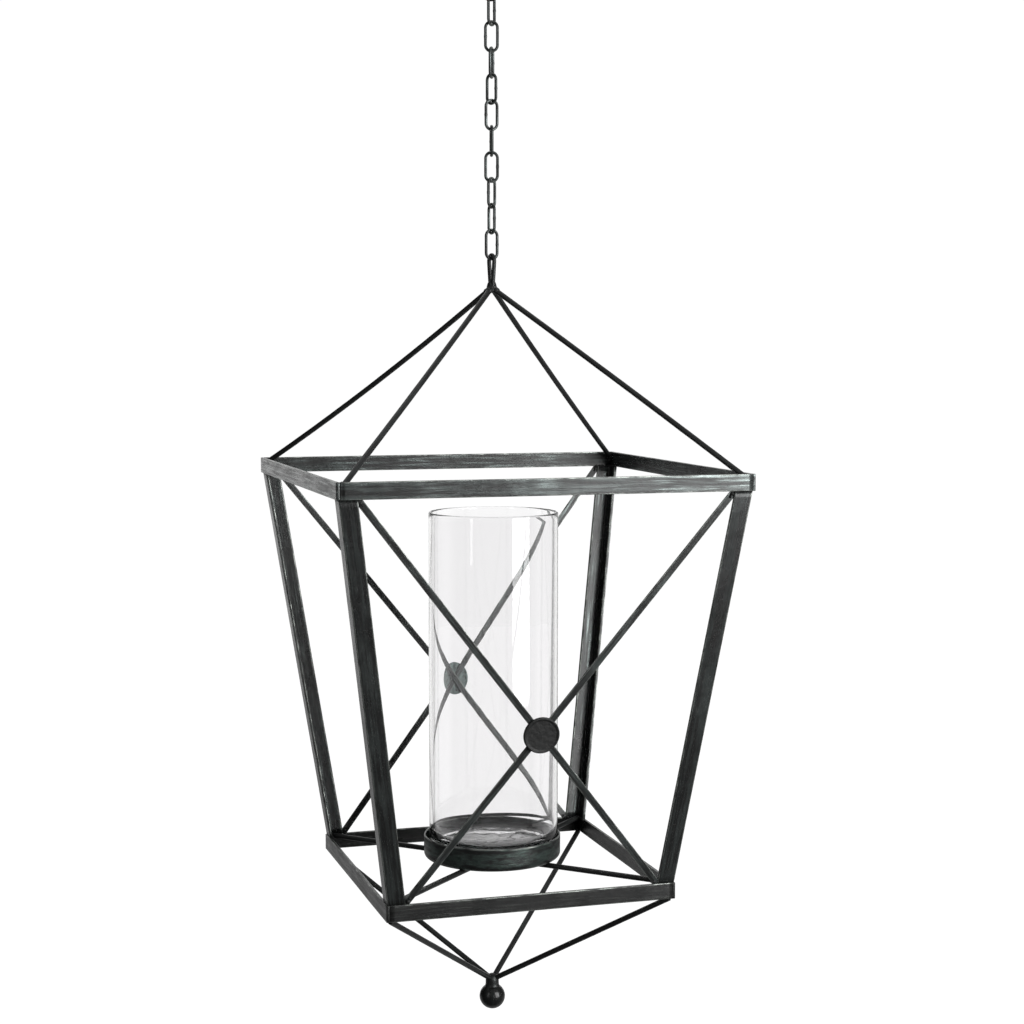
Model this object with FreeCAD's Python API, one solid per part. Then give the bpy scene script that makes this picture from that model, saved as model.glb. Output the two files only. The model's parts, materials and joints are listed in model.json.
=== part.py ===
"""Hanging lantern: an open tapered iron frame with a glass cylinder, hung from a hook on a chain.

The origin is the ceiling face, on the vertical axis that the screw hook, the chain and the
frame share. +Z is up, the braced front face looks along -Y. All lengths are in millimetres.
"""
import FreeCAD, Part
import math
import os

from FreeCAD import Vector

# ceiling hook
HOOK_WIRE = 4.0
HOOK_RADIUS = 9.0
HOOK_DROP = 26.4
HOOK_YAW = -46.0
HOOK_OPENS_AT = 35.0
SCREW_RADIUS = 2.4
SCREW_LENGTH = 24.0
COLLAR_RADIUS = 8.0
COLLAR_HEIGHT = 2.0

# chain
LINK_WIRE = 2.8
LINK_WIDTH = 14.2
LINK_SPACING = 24.57
LINK_PLAY = 0.3
LINK_YAWS = [44.0, -16.0, 60.0, -59.0, 5.0, 80.0, -16.0, 42.0, -78.0, 6.0]

# hanging loop and the knuckle that the roof rods meet at
LOOP_WIRE = 4.0
LOOP_RADIUS = 6.0
LOOP_HEIGHT = 31.0
LOOP_FOOT_SPREAD = 2.6
LOOP_YAW = -82.0
KNUCKLE_RADIUS = 5.6

# frame: two square rings of flat bar, joined by four tapering angle posts
TOP_HALF = 193.0
BOTTOM_HALF = 139.0
RING_PITCH = 387.0
ROOF_HEIGHT = 171.0
BAR_HEIGHT = 15.5
BAR_THICK = 3.0
POST_FLANGE = 17.0
POST_THICK = 3.0
POST_INSET_TOP = 2.0
POST_INSET_BOTTOM = 1.0

# round rods
ROD = 5.2
ROOF_FOOT_INSET = 6.5
ROOF_FOOT_DEPTH = 4.0
ROOF_BOW = {"front_left": 1.2, "front_right": -0.8, "back_left": 4.0, "back_right": 1.8}
FLOOR_FOOT_INSET = 5.0
FLOOR_ROD_DROP = 0.6
FLOOR_ROD_INNER = 30.0
LOWER_FOOT_INSET = 4.5
POINT_DEPTH = 510.5

# flat cross braces with a round plate over each crossing
STRAP_WIDTH = 6.5
STRAP_THICK = POST_THICK / 2
DISC_RADIUS = 17.0
DISC_THICK = 2.2
DISC_RIM = 1.8
DISC_RIM_RISE = 0.7

# dish and glass
DISH_RADIUS = 67.0
DISH_WALL = 1.8
DISH_FLOOR = 2.0
DISH_HEIGHT = 22.4
DISH_EDGE = 5.0
GLASS_RADIUS = 63.1
GLASS_WALL = 3.0
GLASS_BASE = 14.0
GLASS_HEIGHT = 337.5
GLASS_SEAT_GAP = 0.2
GLASS_SHIFT = 1.4
GLASS_FOOT_EDGE = 3.0
GLASS_LIP_EDGE = 1.2

# finial
FINIAL_NECK_RADIUS = 6.6
BALL_RADIUS = 12.6
BALL_BELOW_POINT = 16.4

# heights that follow from the chain, top to bottom
LINK_ARC = (LINK_WIDTH - LINK_WIRE) / 2
LINK_STRAIGHT = LINK_SPACING + LINK_PLAY + LINK_WIRE - 2 * LINK_ARC
FIRST_CROWN_Z = -HOOK_DROP + (HOOK_WIRE + LINK_WIRE) / 2 + LINK_PLAY
LINK_HALF = LINK_STRAIGHT / 2 + LINK_ARC
LAST_BOTTOM_Z = FIRST_CROWN_Z - (len(LINK_YAWS) - 1) * LINK_SPACING - 2 * LINK_HALF
LOOP_CROWN_Z = LAST_BOTTOM_Z + (LINK_WIRE + LOOP_WIRE) / 2 + LINK_PLAY
KNUCKLE_Z = LOOP_CROWN_Z - LOOP_HEIGHT
RING_TOP_Z = KNUCKLE_Z - ROOF_HEIGHT
RING_UNDER_Z = RING_TOP_Z - BAR_HEIGHT
BASE_TOP_Z = RING_TOP_Z - RING_PITCH
BASE_UNDER_Z = BASE_TOP_Z - BAR_HEIGHT
FLOOR_ROD_Z = BASE_TOP_Z - FLOOR_ROD_DROP
DISH_UNDER_Z = FLOOR_ROD_Z + ROD / 2
POINT_Z = RING_TOP_Z - POINT_DEPTH
BALL_Z = POINT_Z - BALL_BELOW_POINT

# the front posts' reach from the axis, the gap between them, and where its diagonals cross
POST_REACH_TOP = TOP_HALF - POST_INSET_TOP
POST_REACH_BOTTOM = BOTTOM_HALF - POST_INSET_BOTTOM
TOP_GAP_HALF = POST_REACH_TOP - POST_FLANGE
BOTTOM_GAP_HALF = POST_REACH_BOTTOM - POST_FLANGE
CROSSING_SHARE = BOTTOM_GAP_HALF / (TOP_GAP_HALF + BOTTOM_GAP_HALF)
CROSSING_Z = BASE_TOP_Z + (RING_UNDER_Z - BASE_TOP_Z) * CROSSING_SHARE

AXIS = Vector(0, 0, 1)
CORNERS = {"front_left": (-1, -1), "front_right": (1, -1), "back_left": (-1, 1), "back_right": (1, 1)}


def box(low, high):
    """Box between two corner points."""
    size = [b - a for a, b in zip(low, high)]
    return Part.makeBox(*size, Vector(*low))


def prism(points, sweep):
    """Solid made by sweeping the flat outline through the vector."""
    return Part.Face(Part.makePolygon(points + points[:1])).extrude(sweep)


def swept_wire(path, diameter):
    """Round wire along a smooth path of edges."""
    start = path[0].valueAt(path[0].FirstParameter)
    tangent = path[0].tangentAt(path[0].FirstParameter)
    profile = Part.Wire(Part.makeCircle(diameter / 2, start, tangent))
    return Part.Wire(path).makePipeShell([profile], True, False)


def rod(start, end, bow=0.0):
    """Round rod between two points; bow is how far its middle dips towards the lantern's axis."""
    if not bow:
        return swept_wire([Part.makeLine(start, end)], ROD)
    along = (end - start).normalize()
    dip = (-AXIS + along * along.z).normalize()
    middle = (start + end) * 0.5 + dip * bow
    return swept_wire([Part.Arc(start, middle, end).toShape()], ROD)


def arc(centre, radius, u, from_deg, to_deg):
    """Circular arc in the upright plane through u; angles are measured from u towards +Z."""
    def at(deg):
        a = math.radians(deg)
        return centre + u * (radius * math.cos(a)) + AXIS * (radius * math.sin(a))
    return Part.Arc(at(from_deg), at((from_deg + to_deg) / 2), at(to_deg)).toShape()


def heading(yaw):
    """Level unit vector at the angle yaw from +X."""
    return Vector(math.cos(math.radians(yaw)), math.sin(math.radians(yaw)), 0)


def ceiling_hook():
    """Screw shank, collar and round open hook, in one piece."""
    u = heading(HOOK_YAW)
    wire = HOOK_WIRE / 2
    centre = Vector(0, 0, -HOOK_DROP + HOOK_RADIUS)
    curve = arc(centre, HOOK_RADIUS, u, 90, 360 + HOOK_OPENS_AT)
    tip = curve.valueAt(curve.LastParameter)
    shoulder = centre + AXIS * HOOK_RADIUS
    neck = Part.makeCylinder(wire, -shoulder.z, shoulder)
    collar = Part.makeCylinder(COLLAR_RADIUS, COLLAR_HEIGHT, Vector(0, 0, -COLLAR_HEIGHT))
    screw = Part.makeCylinder(SCREW_RADIUS, SCREW_LENGTH)
    ends = [Part.makeSphere(wire, shoulder), Part.makeSphere(wire, tip)]
    return swept_wire([curve], HOOK_WIRE).multiFuse(ends + [neck, collar, screw]).removeSplitter()


def chain_link(yaw, crown_z):
    """Straight-sided oval link whose top wire has its centre at crown_z."""
    u = heading(yaw)
    upper = Vector(0, 0, crown_z - LINK_ARC)
    lower = upper - AXIS * LINK_STRAIGHT
    side = u * LINK_ARC
    path = [
        Part.makeLine(lower + side, upper + side),
        arc(upper, LINK_ARC, u, 0, 180),
        Part.makeLine(upper - side, lower - side),
        arc(lower, LINK_ARC, u, 180, 360),
    ]
    return swept_wire(path, LINK_WIRE)


def hanging_loop():
    """Tapering loop of rod whose two legs run into the knuckle."""
    u = heading(LOOP_YAW)
    centre = Vector(0, 0, LOOP_CROWN_Z - LOOP_RADIUS)
    foot = Vector(0, 0, KNUCKLE_Z) + u * LOOP_FOOT_SPREAD
    reach = math.hypot(LOOP_FOOT_SPREAD, centre.z - foot.z)
    touch = math.degrees(math.acos(LOOP_RADIUS / reach) - math.atan2(centre.z - foot.z, LOOP_FOOT_SPREAD))
    crown = arc(centre, LOOP_RADIUS, u, touch, 180 - touch)
    right = crown.valueAt(crown.FirstParameter)
    left = crown.valueAt(crown.LastParameter)
    path = [
        Part.makeLine(foot, right),
        crown,
        Part.makeLine(left, foot - u * 2 * LOOP_FOOT_SPREAD),
    ]
    return swept_wire(path, LOOP_WIRE)


def knuckle():
    """Forged ball that the loop and the four roof rods are welded to."""
    return Part.makeSphere(KNUCKLE_RADIUS, Vector(0, 0, KNUCKLE_Z))


def ring_rail(side, half, top_z):
    """One flat bar of a square ring; the left and right bars run full depth between the outer faces."""
    inner = half - BAR_THICK
    low_z = top_z - BAR_HEIGHT
    spans = {
        "left": ((-half, -half), (-inner, half)),
        "right": ((inner, -half), (half, half)),
        "front": ((-inner, -half), (inner, -inner)),
        "back": ((-inner, inner), (inner, half)),
    }
    (x0, y0), (x1, y1) = spans[side]
    return box((x0, y0, low_z), (x1, y1, top_z))


def corner_post(sx, sy):
    """Angle post leaning outwards from the bottom ring to the top ring, its heel at the outer corner."""
    low = POST_REACH_BOTTOM
    lean = POST_REACH_TOP - POST_REACH_BOTTOM
    steps = [(0, 0), (POST_FLANGE, 0), (POST_FLANGE, POST_THICK), (POST_THICK, POST_THICK),
             (POST_THICK, POST_FLANGE), (0, POST_FLANGE)]
    outline = [Vector(sx * (low - a), sy * (low - b), BASE_TOP_Z) for a, b in steps]
    return prism(outline, Vector(sx * lean, sy * lean, RING_UNDER_Z - BASE_TOP_Z))


def face_point(x, z):
    """Point of the sloping front plane, which is the outer face of the front posts' flanges."""
    share = (z - BASE_TOP_Z) / (RING_UNDER_Z - BASE_TOP_Z)
    return Vector(x, -(POST_REACH_BOTTOM + (POST_REACH_TOP - POST_REACH_BOTTOM) * share), z)


def front_brace(from_side, layer):
    """Flat strap from the top corner at from_side to the opposite bottom corner of the front gap.

    Layer 0 is flush with the posts' outer faces, layer 1 lies right behind it."""
    inward = Vector(0, STRAP_THICK, 0)
    offset = inward * layer
    gap = [
        face_point(-TOP_GAP_HALF, RING_UNDER_Z),
        face_point(TOP_GAP_HALF, RING_UNDER_Z),
        face_point(BOTTOM_GAP_HALF, BASE_TOP_Z),
        face_point(-BOTTOM_GAP_HALF, BASE_TOP_Z),
    ]
    start = face_point(from_side * TOP_GAP_HALF, RING_UNDER_Z)
    end = face_point(-from_side * BOTTOM_GAP_HALF, BASE_TOP_Z)
    run = (end - start).normalize()
    plane_normal = (gap[1] - gap[0]).cross(gap[3] - gap[0]).normalize()
    half = run.cross(plane_normal) * (STRAP_WIDTH / 2)
    past = run * STRAP_WIDTH
    band = [start - past + half, end + past + half, end + past - half, start - past - half]
    strap = prism([p + offset for p in band], inward)
    return strap.common(prism([p + offset for p in gap], inward))


def front_disc():
    """Round plate with a raised rim, over the crossing of the front braces."""
    centre = face_point(0, CROSSING_Z)
    slope = face_point(0, RING_UNDER_Z) - face_point(0, BASE_TOP_Z)
    outward = Vector(1, 0, 0).cross(slope).normalize()
    plate = Part.makeCylinder(DISC_RADIUS, DISC_THICK, centre, outward)
    face = centre + outward * DISC_THICK
    rim = Part.makeCylinder(DISC_RADIUS, DISC_RIM_RISE, face, outward)
    rim = rim.cut(Part.makeCylinder(DISC_RADIUS - DISC_RIM, DISC_RIM_RISE, face, outward))
    return plate.fuse(rim).removeSplitter()


def half_turn(shape):
    """The same piece on the opposite face of the frame."""
    return shape.rotated(Vector(), AXIS, 180)


def roof_rod(corner):
    """Rod from the knuckle down into the inside corner of the top ring."""
    sx, sy = CORNERS[corner]
    foot = TOP_HALF - ROOF_FOOT_INSET
    end = Vector(sx * foot, sy * foot, RING_TOP_Z - ROOF_FOOT_DEPTH)
    return rod(Vector(0, 0, KNUCKLE_Z), end, ROOF_BOW[corner])


def floor_rod(corner):
    """Level rod from a corner of the bottom ring to under the dish."""
    sx, sy = CORNERS[corner]
    foot = BOTTOM_HALF - FLOOR_FOOT_INSET
    inner = FLOOR_ROD_INNER / math.sqrt(2)
    return rod(Vector(sx * inner, sy * inner, FLOOR_ROD_Z), Vector(sx * foot, sy * foot, FLOOR_ROD_Z))


def lower_rod(corner):
    """Rod from under a corner of the bottom ring down to the finial."""
    sx, sy = CORNERS[corner]
    foot = BOTTOM_HALF - LOWER_FOOT_INSET
    return rod(Vector(0, 0, POINT_Z), Vector(sx * foot, sy * foot, BASE_UNDER_Z))


def candle_dish():
    """Round pan with a rounded lower edge, on the four floor rods."""
    z0 = DISH_UNDER_Z
    outer = Part.makeCylinder(DISH_RADIUS, DISH_HEIGHT, Vector(0, 0, z0))
    under = [e for e in outer.Edges if e.Closed and abs(e.CenterOfMass.z - z0) < DISH_WALL]
    outer = outer.makeFillet(DISH_EDGE, under)
    hollow = Part.makeCylinder(DISH_RADIUS - DISH_WALL, DISH_HEIGHT, Vector(0, 0, z0 + DISH_FLOOR))
    seat = [e for e in hollow.Edges if e.Closed and abs(e.CenterOfMass.z - z0 - DISH_FLOOR) < DISH_WALL]
    return outer.cut(hollow.makeFillet(DISH_EDGE - DISH_WALL, seat))


def glass_cylinder():
    """Open glass cylinder with a thick foot, standing a little to one side in the dish."""
    base = Vector(GLASS_SHIFT, 0, DISH_UNDER_Z + DISH_FLOOR + GLASS_SEAT_GAP)
    body = Part.makeCylinder(GLASS_RADIUS, GLASS_HEIGHT, base)
    bore = Part.makeCylinder(GLASS_RADIUS - GLASS_WALL, GLASS_HEIGHT, base + AXIS * GLASS_BASE)
    foot = [e for e in body.Edges if e.Closed and abs(e.CenterOfMass.z - base.z) < GLASS_WALL]
    well = [e for e in bore.Edges if e.Closed and abs(e.CenterOfMass.z - base.z - GLASS_BASE) < GLASS_WALL]
    shell = body.makeFillet(GLASS_FOOT_EDGE, foot).cut(bore.makeFillet(GLASS_FOOT_EDGE, well))
    rim_z = base.z + GLASS_HEIGHT
    lip = [e for e in shell.Edges if e.Closed and abs(e.CenterOfMass.z - rim_z) < GLASS_WALL]
    return shell.makeFillet(GLASS_LIP_EDGE, lip)


def finial_neck():
    """Round-topped neck that the lower rods run into, above the ball."""
    point = Vector(0, 0, POINT_Z)
    stem = Part.makeCylinder(FINIAL_NECK_RADIUS, BALL_BELOW_POINT, point - AXIS * BALL_BELOW_POINT)
    return stem.fuse(Part.makeSphere(FINIAL_NECK_RADIUS, point)).removeSplitter()


def ball_finial():
    """Solid ball at the lowest point."""
    return Part.makeSphere(BALL_RADIUS, Vector(0, 0, BALL_Z))


def build_nodes():
    """Every node's shape, by name."""
    nodes = {"ceiling_hook": ceiling_hook()}
    for number, yaw in enumerate(LINK_YAWS):
        nodes[f"chain_link_{number + 1:02d}"] = chain_link(yaw, FIRST_CROWN_Z - number * LINK_SPACING)
    nodes["apex_knuckle"] = knuckle()
    nodes["hanging_loop"] = hanging_loop().cut(nodes["apex_knuckle"])
    for ring, half, top_z in (("top", TOP_HALF, RING_TOP_Z), ("bottom", BOTTOM_HALF, BASE_TOP_Z)):
        for side in ("front", "back", "left", "right"):
            nodes[f"{ring}_rail_{side}"] = ring_rail(side, half, top_z)
    for corner, (sx, sy) in CORNERS.items():
        nodes[f"corner_post_{corner}"] = corner_post(sx, sy)
    for name, side, layer in (("from_left", -1, 0), ("from_right", 1, 1)):
        brace = front_brace(side, layer)
        nodes[f"front_brace_{name}"] = brace
        nodes[f"back_brace_{name}"] = half_turn(brace)
    nodes["front_disc"] = front_disc()
    nodes["back_disc"] = half_turn(nodes["front_disc"])
    nodes["candle_dish"] = candle_dish()
    nodes["glass_cylinder"] = glass_cylinder()
    nodes["ball_finial"] = ball_finial()
    nodes["finial_neck"] = finial_neck().cut(nodes["ball_finial"])
    for corner in CORNERS:
        depth_side, width_side = corner.split("_")
        post = nodes[f"corner_post_{corner}"]
        top = [nodes[f"top_rail_{depth_side}"], nodes[f"top_rail_{width_side}"], post]
        bottom = [nodes[f"bottom_rail_{depth_side}"], nodes[f"bottom_rail_{width_side}"], post]
        nodes[f"roof_rod_{corner}"] = roof_rod(corner).cut([nodes["apex_knuckle"]] + top)
        nodes[f"floor_rod_{corner}"] = floor_rod(corner).cut(bottom)
        nodes[f"lower_rod_{corner}"] = lower_rod(corner).cut(
            [nodes["finial_neck"], nodes["ball_finial"]] + bottom)
    return nodes


def main():
    os.makedirs("parts", exist_ok=True)
    for name, shape in build_nodes().items():
        shape.exportStep(f"parts/{name}.step")


main()
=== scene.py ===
"""Hanging lantern: blackened iron frame with a glass cylinder, on a welded chain and a screw hook.

Each piece is made in place round the fixed frame, in metres: +Z is up and the braced front looks along -Y.
"""
import json
import math

import bmesh
import bpy
from bpy.props import FloatProperty, FloatVectorProperty, IntProperty, PointerProperty
from mathutils import Matrix, Vector, noise


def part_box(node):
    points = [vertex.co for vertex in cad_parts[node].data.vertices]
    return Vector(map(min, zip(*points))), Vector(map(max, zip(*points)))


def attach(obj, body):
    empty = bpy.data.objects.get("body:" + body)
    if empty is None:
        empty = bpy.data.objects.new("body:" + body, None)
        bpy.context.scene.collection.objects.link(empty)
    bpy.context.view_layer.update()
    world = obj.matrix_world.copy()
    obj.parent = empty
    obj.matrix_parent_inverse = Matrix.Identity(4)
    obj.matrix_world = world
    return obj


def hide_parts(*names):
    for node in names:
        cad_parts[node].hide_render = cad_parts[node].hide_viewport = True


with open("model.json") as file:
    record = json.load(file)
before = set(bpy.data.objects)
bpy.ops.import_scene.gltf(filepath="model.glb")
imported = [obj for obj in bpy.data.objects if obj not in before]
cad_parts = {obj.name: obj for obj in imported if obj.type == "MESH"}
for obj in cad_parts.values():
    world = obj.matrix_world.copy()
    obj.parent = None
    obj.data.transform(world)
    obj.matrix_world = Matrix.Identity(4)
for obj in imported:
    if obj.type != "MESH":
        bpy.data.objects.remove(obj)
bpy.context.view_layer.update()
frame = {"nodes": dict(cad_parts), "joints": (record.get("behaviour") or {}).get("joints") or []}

bl_info = {
    "name": "Hanging Lantern",
    "version": (1, 0, 0),
    "blender": (4, 5, 0),
    "location": "View3D > Sidebar > Lantern",
    "description": "Builds an iron hanging lantern with a glass cylinder, chain and studio",
    "category": "Object",
}

MM = 0.001
UP = Vector((0, 0, 1))
CORNERS = {"front_left": (-1, -1), "front_right": (1, -1), "back_left": (-1, 1), "back_right": (1, 1)}


# ---------------------------------------------------------------- places read from the frame

def low(node):
    """Lowest corner of a frame node."""
    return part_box(node)[0]


def high(node):
    """Highest corner of a frame node."""
    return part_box(node)[1]


TOP_HALF = high("top_rail_right").x
TOP_Z = high("top_rail_right").z
TOP_UNDER_Z = low("top_rail_right").z
BASE_HALF = high("bottom_rail_right").x
BASE_Z = high("bottom_rail_right").z
BASE_UNDER_Z = low("bottom_rail_right").z
BAR_THICK = high("top_rail_right").x - low("top_rail_right").x
POST_TOP = high("corner_post_back_right").x
POST_FOOT_INSET = 1 * MM
POST_FOOT = BASE_HALF - POST_FOOT_INSET
POST_LEAN = (POST_TOP - POST_FOOT) / (TOP_UNDER_Z - BASE_Z)
KNUCKLE_Z = (low("apex_knuckle").z + high("apex_knuckle").z) / 2
KNUCKLE_RADIUS = (high("apex_knuckle").z - low("apex_knuckle").z) / 2
LOOP_TOP_Z = high("hanging_loop").z
DISH_UNDER_Z = low("candle_dish").z
DISH_RADIUS = high("candle_dish").x
DISH_TOP_Z = high("candle_dish").z
GLASS_LOW = low("glass_cylinder")
GLASS_HIGH = high("glass_cylinder")
BALL_LOW_Z = low("ball_finial").z
BALL_RADIUS = high("ball_finial").x
POINT_Z = high("finial_neck").z - high("finial_neck").x
NECK_RADIUS = high("finial_neck").x
CAMERA_PLACE = (-0.5358, -1.8552, TOP_Z + 0.1195)

# how far the rods' feet stand in from the rings' outer faces, and where they start and end
ROOF_FOOT_INSET = 6.5 * MM
ROOF_FOOT_DEPTH = 4 * MM
FLOOR_FOOT_INSET = 5 * MM
FLOOR_ROD_INNER = 30 * MM
LOWER_FOOT_INSET = 4.5 * MM
LOWER_FOOT_GAP = 0.3 * MM


# ---------------------------------------------------------------- sizes and colours a user would change

def length(name, text, value):
    """A length in metres, shown with its unit."""
    return FloatProperty(name=name, description=text, default=value, min=0.0, unit="LENGTH", precision=5)


def share(name, text, value):
    """A plain number from 0 to 1."""
    return FloatProperty(name=name, description=text, default=value, min=0.0, max=1.0)


def colour(name, text, value):
    """A colour without alpha."""
    return FloatVectorProperty(name=name, description=text, default=value, size=3, subtype="COLOR", min=0.0,
                               max=1.0)


class LanternSizes(bpy.types.PropertyGroup):
    """Sizes of the stock and of the hand work on it."""

    bar_edge: length("Bar edge", "Radius of the worn edges of bars and posts", 0.55 * MM)
    post_flange: length("Post flange", "Width of each flange of the angle posts", 17 * MM)
    post_root: length("Post root", "Radius inside the heel of the angle posts", 1.6 * MM)
    strap_width: length("Strap width", "Width of the flat cross straps", 6.5 * MM)
    strap_thick: length("Strap thickness", "Thickness of the flat cross straps", 1.5 * MM)
    rod: length("Rod", "Diameter of the round rods", 5.2 * MM)
    waviness: length("Waviness", "How far hand-worked stock strays from straight", 0.16 * MM)
    link_wire: length("Link wire", "Diameter of the chain wire", 2.8 * MM)
    link_width: length("Link width", "Outer width of a chain link", 14.2 * MM)
    link_weld: length("Link weld", "How far the weld stands out on a link's side", 0.22 * MM)
    loop_wire: length("Loop wire", "Diameter of the hanging loop's rod", 4 * MM)
    hook_wire: length("Hook wire", "Diameter of the ceiling hook's wire", 4 * MM)
    disc_radius: length("Disc radius", "Radius of the plates over the crossings", 17 * MM)
    bead: length("Weld bead", "Usual radius of a weld bead", 2.3 * MM)
    glass_wall: length("Glass wall", "Thickness of the glass", 3 * MM)
    glass_foot: length("Glass foot", "Thickness of the glass's foot", 14 * MM)


class LanternFinish(bpy.types.PropertyGroup):
    """Colours of the finishes, and how worn they are."""

    black: colour("Blackening", "Base colour of the blackened iron", (0.009, 0.0095, 0.0095))
    rubbed: colour("Rubbed iron", "Colour where the blackening is brushed thin", (0.17, 0.195, 0.19))
    bare: colour("Bare edge", "Colour of the iron where edges are worn bare", (0.30, 0.32, 0.30))
    scorch: colour("Scorch", "Colour beside a weld", (0.006, 0.0045, 0.0045))
    rust: colour("Rust", "Brown cast in the pits", (0.045, 0.020, 0.012))
    rubbing: share("Rubbing", "How much of the blackening is brushed thin", 0.5)
    wear: share("Edge wear", "How much of the edges is worn bare", 0.5)


class LanternStudio(bpy.types.PropertyGroup):
    """The stand-in studio."""

    floor_drop: length("Floor drop", "How far the floor lies under the ball", 0.9)
    floor_radius: length("Floor radius", "Radius of the round floor", 9.0)
    camera_turn: FloatProperty(name="Camera turn", description="Camera's turn about the vertical",
                               default=math.radians(-16.69), subtype="ANGLE")
    camera_tilt: FloatProperty(name="Camera tilt", description="Camera's tilt up from straight down",
                               default=math.radians(85.11), subtype="ANGLE")
    lens: FloatProperty(name="Lens", description="Focal length in millimetres", default=70.14)
    light_power: FloatProperty(name="Light power", description="Power of the large light on the right",
                               default=82.0, unit="POWER")
    seed: IntProperty(name="Seed", description="Seed of the beads' turns and sizes", default=7)


GROUPS = {"lantern_sizes": LanternSizes, "lantern_finish": LanternFinish, "lantern_studio": LanternStudio}


def sizes():
    """The sizes in use."""
    return bpy.context.scene.lantern_sizes


# ---------------------------------------------------------------- node helpers

def add(tree, kind, settings=None, **inputs):
    """Adds a node; settings are its properties, and inputs are values or sockets to link, by socket name."""
    made = tree.nodes.new(kind)
    for name, value in (settings or {}).items():
        setattr(made, name, value)
    for name, value in inputs.items():
        plug(tree, made, name.replace("_", " "), value)
    return made


def plug(tree, made, name, value):
    """Gives an input, by name or index, a value or a link."""
    socket = made.inputs[name]
    if isinstance(value, bpy.types.NodeSocket):
        tree.links.new(value, socket)
    elif getattr(socket, "type", "") == "RGBA" and len(value) == 3:
        socket.default_value = (*value, 1.0)
    else:
        socket.default_value = value


def sums(tree, operation, *values, clamp=False):
    """A Math node's result."""
    made = tree.nodes.new("ShaderNodeMath")
    made.operation = operation
    made.use_clamp = clamp
    for index, value in enumerate(values):
        plug(tree, made, index, value)
    return made.outputs[0]


def spread(tree, value, from_low, from_high, to_low=0.0, to_high=1.0):
    """A smooth step from to_low to to_high."""
    made = tree.nodes.new("ShaderNodeMapRange")
    made.interpolation_type = "SMOOTHSTEP"
    for index, part in enumerate((value, from_low, from_high, to_low, to_high)):
        plug(tree, made, index, part)
    return made.outputs[0]


def blend_colours(tree, factor, first, second):
    """A colour Mix node's result."""
    made = tree.nodes.new("ShaderNodeMix")
    made.data_type = "RGBA"
    for index, value in ((0, factor), (6, first), (7, second)):
        plug(tree, made, index, value)
    return made.outputs[2]


def vector_sums(tree, operation, *values):
    """A Vector Math node's result."""
    made = add(tree, "ShaderNodeVectorMath", {"operation": operation})
    for index, value in enumerate(values):
        plug(tree, made, index, value)
    return made.outputs[0]


def scaled(tree, vector, amount):
    """A vector made longer or shorter."""
    made = add(tree, "ShaderNodeVectorMath", {"operation": "SCALE"}, Scale=amount)
    plug(tree, made, 0, vector)
    return made.outputs[0]


def joined_vector(tree, *parts):
    """A vector of three values."""
    made = tree.nodes.new("ShaderNodeCombineXYZ")
    for index, part in enumerate(parts):
        plug(tree, made, index, part)
    return made.outputs[0]


def taken_apart(tree, vector):
    """The three values of a vector."""
    return add(tree, "ShaderNodeSeparateXYZ", Vector=vector).outputs


def stretched(tree, vector, across, along):
    """The grain coordinate scaled across and along the piece."""
    return vector_sums(tree, "MULTIPLY", vector, (across, across, along))


def speckle(tree, vector, scale, detail=4.0, roughness=0.55):
    """A noise value about one half."""
    made = add(tree, "ShaderNodeTexNoise", {"noise_dimensions": "3D"}, Vector=vector, Scale=scale,
               Detail=detail, Roughness=roughness)
    return made.outputs["Fac"]


def new_group(name, kind, sockets_in, sockets_out):
    """An empty node group with named sockets; returns it with its input and output nodes."""
    tree = bpy.data.node_groups.new(name, kind)
    for way, rows in (("INPUT", sockets_in), ("OUTPUT", sockets_out)):
        for label, socket_type, default in rows:
            made = tree.interface.new_socket(label, in_out=way, socket_type=socket_type)
            if default is not None:
                made.default_value = default
    return tree, tree.nodes.new("NodeGroupInput"), tree.nodes.new("NodeGroupOutput")


NUMBER, VECTOR, COLOUR, SHAPE = "NodeSocketFloat", "NodeSocketVector", "NodeSocketColor", "NodeSocketGeometry"


# ---------------------------------------------------------------- effects that several finishes share

def brushing_group():
    """Fine streaks along the piece where the blackening was brushed, with broader thin patches."""
    tree, inward, outward = new_group(
        "Lengthwise brushing", "ShaderNodeTree",
        [("Grain", VECTOR, None), ("Fineness", NUMBER, 480.0), ("Streak Length", NUMBER, 0.05),
         ("Patch Size", NUMBER, 0.05), ("Amount", NUMBER, 0.5)],
        [("Streaks", NUMBER, None), ("Patches", NUMBER, None)])
    grain = inward.outputs["Grain"]
    fineness = inward.outputs["Fineness"]
    pull = joined_vector(tree, fineness, fineness, sums(tree, "DIVIDE", 1.0, inward.outputs["Streak Length"]))
    fine = speckle(tree, vector_sums(tree, "MULTIPLY", grain, pull), 1.0, detail=5.0, roughness=0.6)
    broad = speckle(tree, stretched(tree, grain, 260.0, 26.0), 1.0, detail=3.0)
    patch_scale = sums(tree, "DIVIDE", 1.0, inward.outputs["Patch Size"])
    patch = speckle(tree, grain, patch_scale, detail=4.0, roughness=0.6)
    streak = sums(tree, "MULTIPLY_ADD", fine, 0.6, sums(tree, "MULTIPLY", broad, 0.4))
    bias = sums(tree, "MULTIPLY", inward.outputs["Amount"], 0.22)
    plug(tree, outward, "Streaks", spread(tree, sums(tree, "ADD", streak, bias), 0.50, 0.72))
    plug(tree, outward, "Patches", spread(tree, patch, 0.36, 0.66))
    return tree


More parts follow.
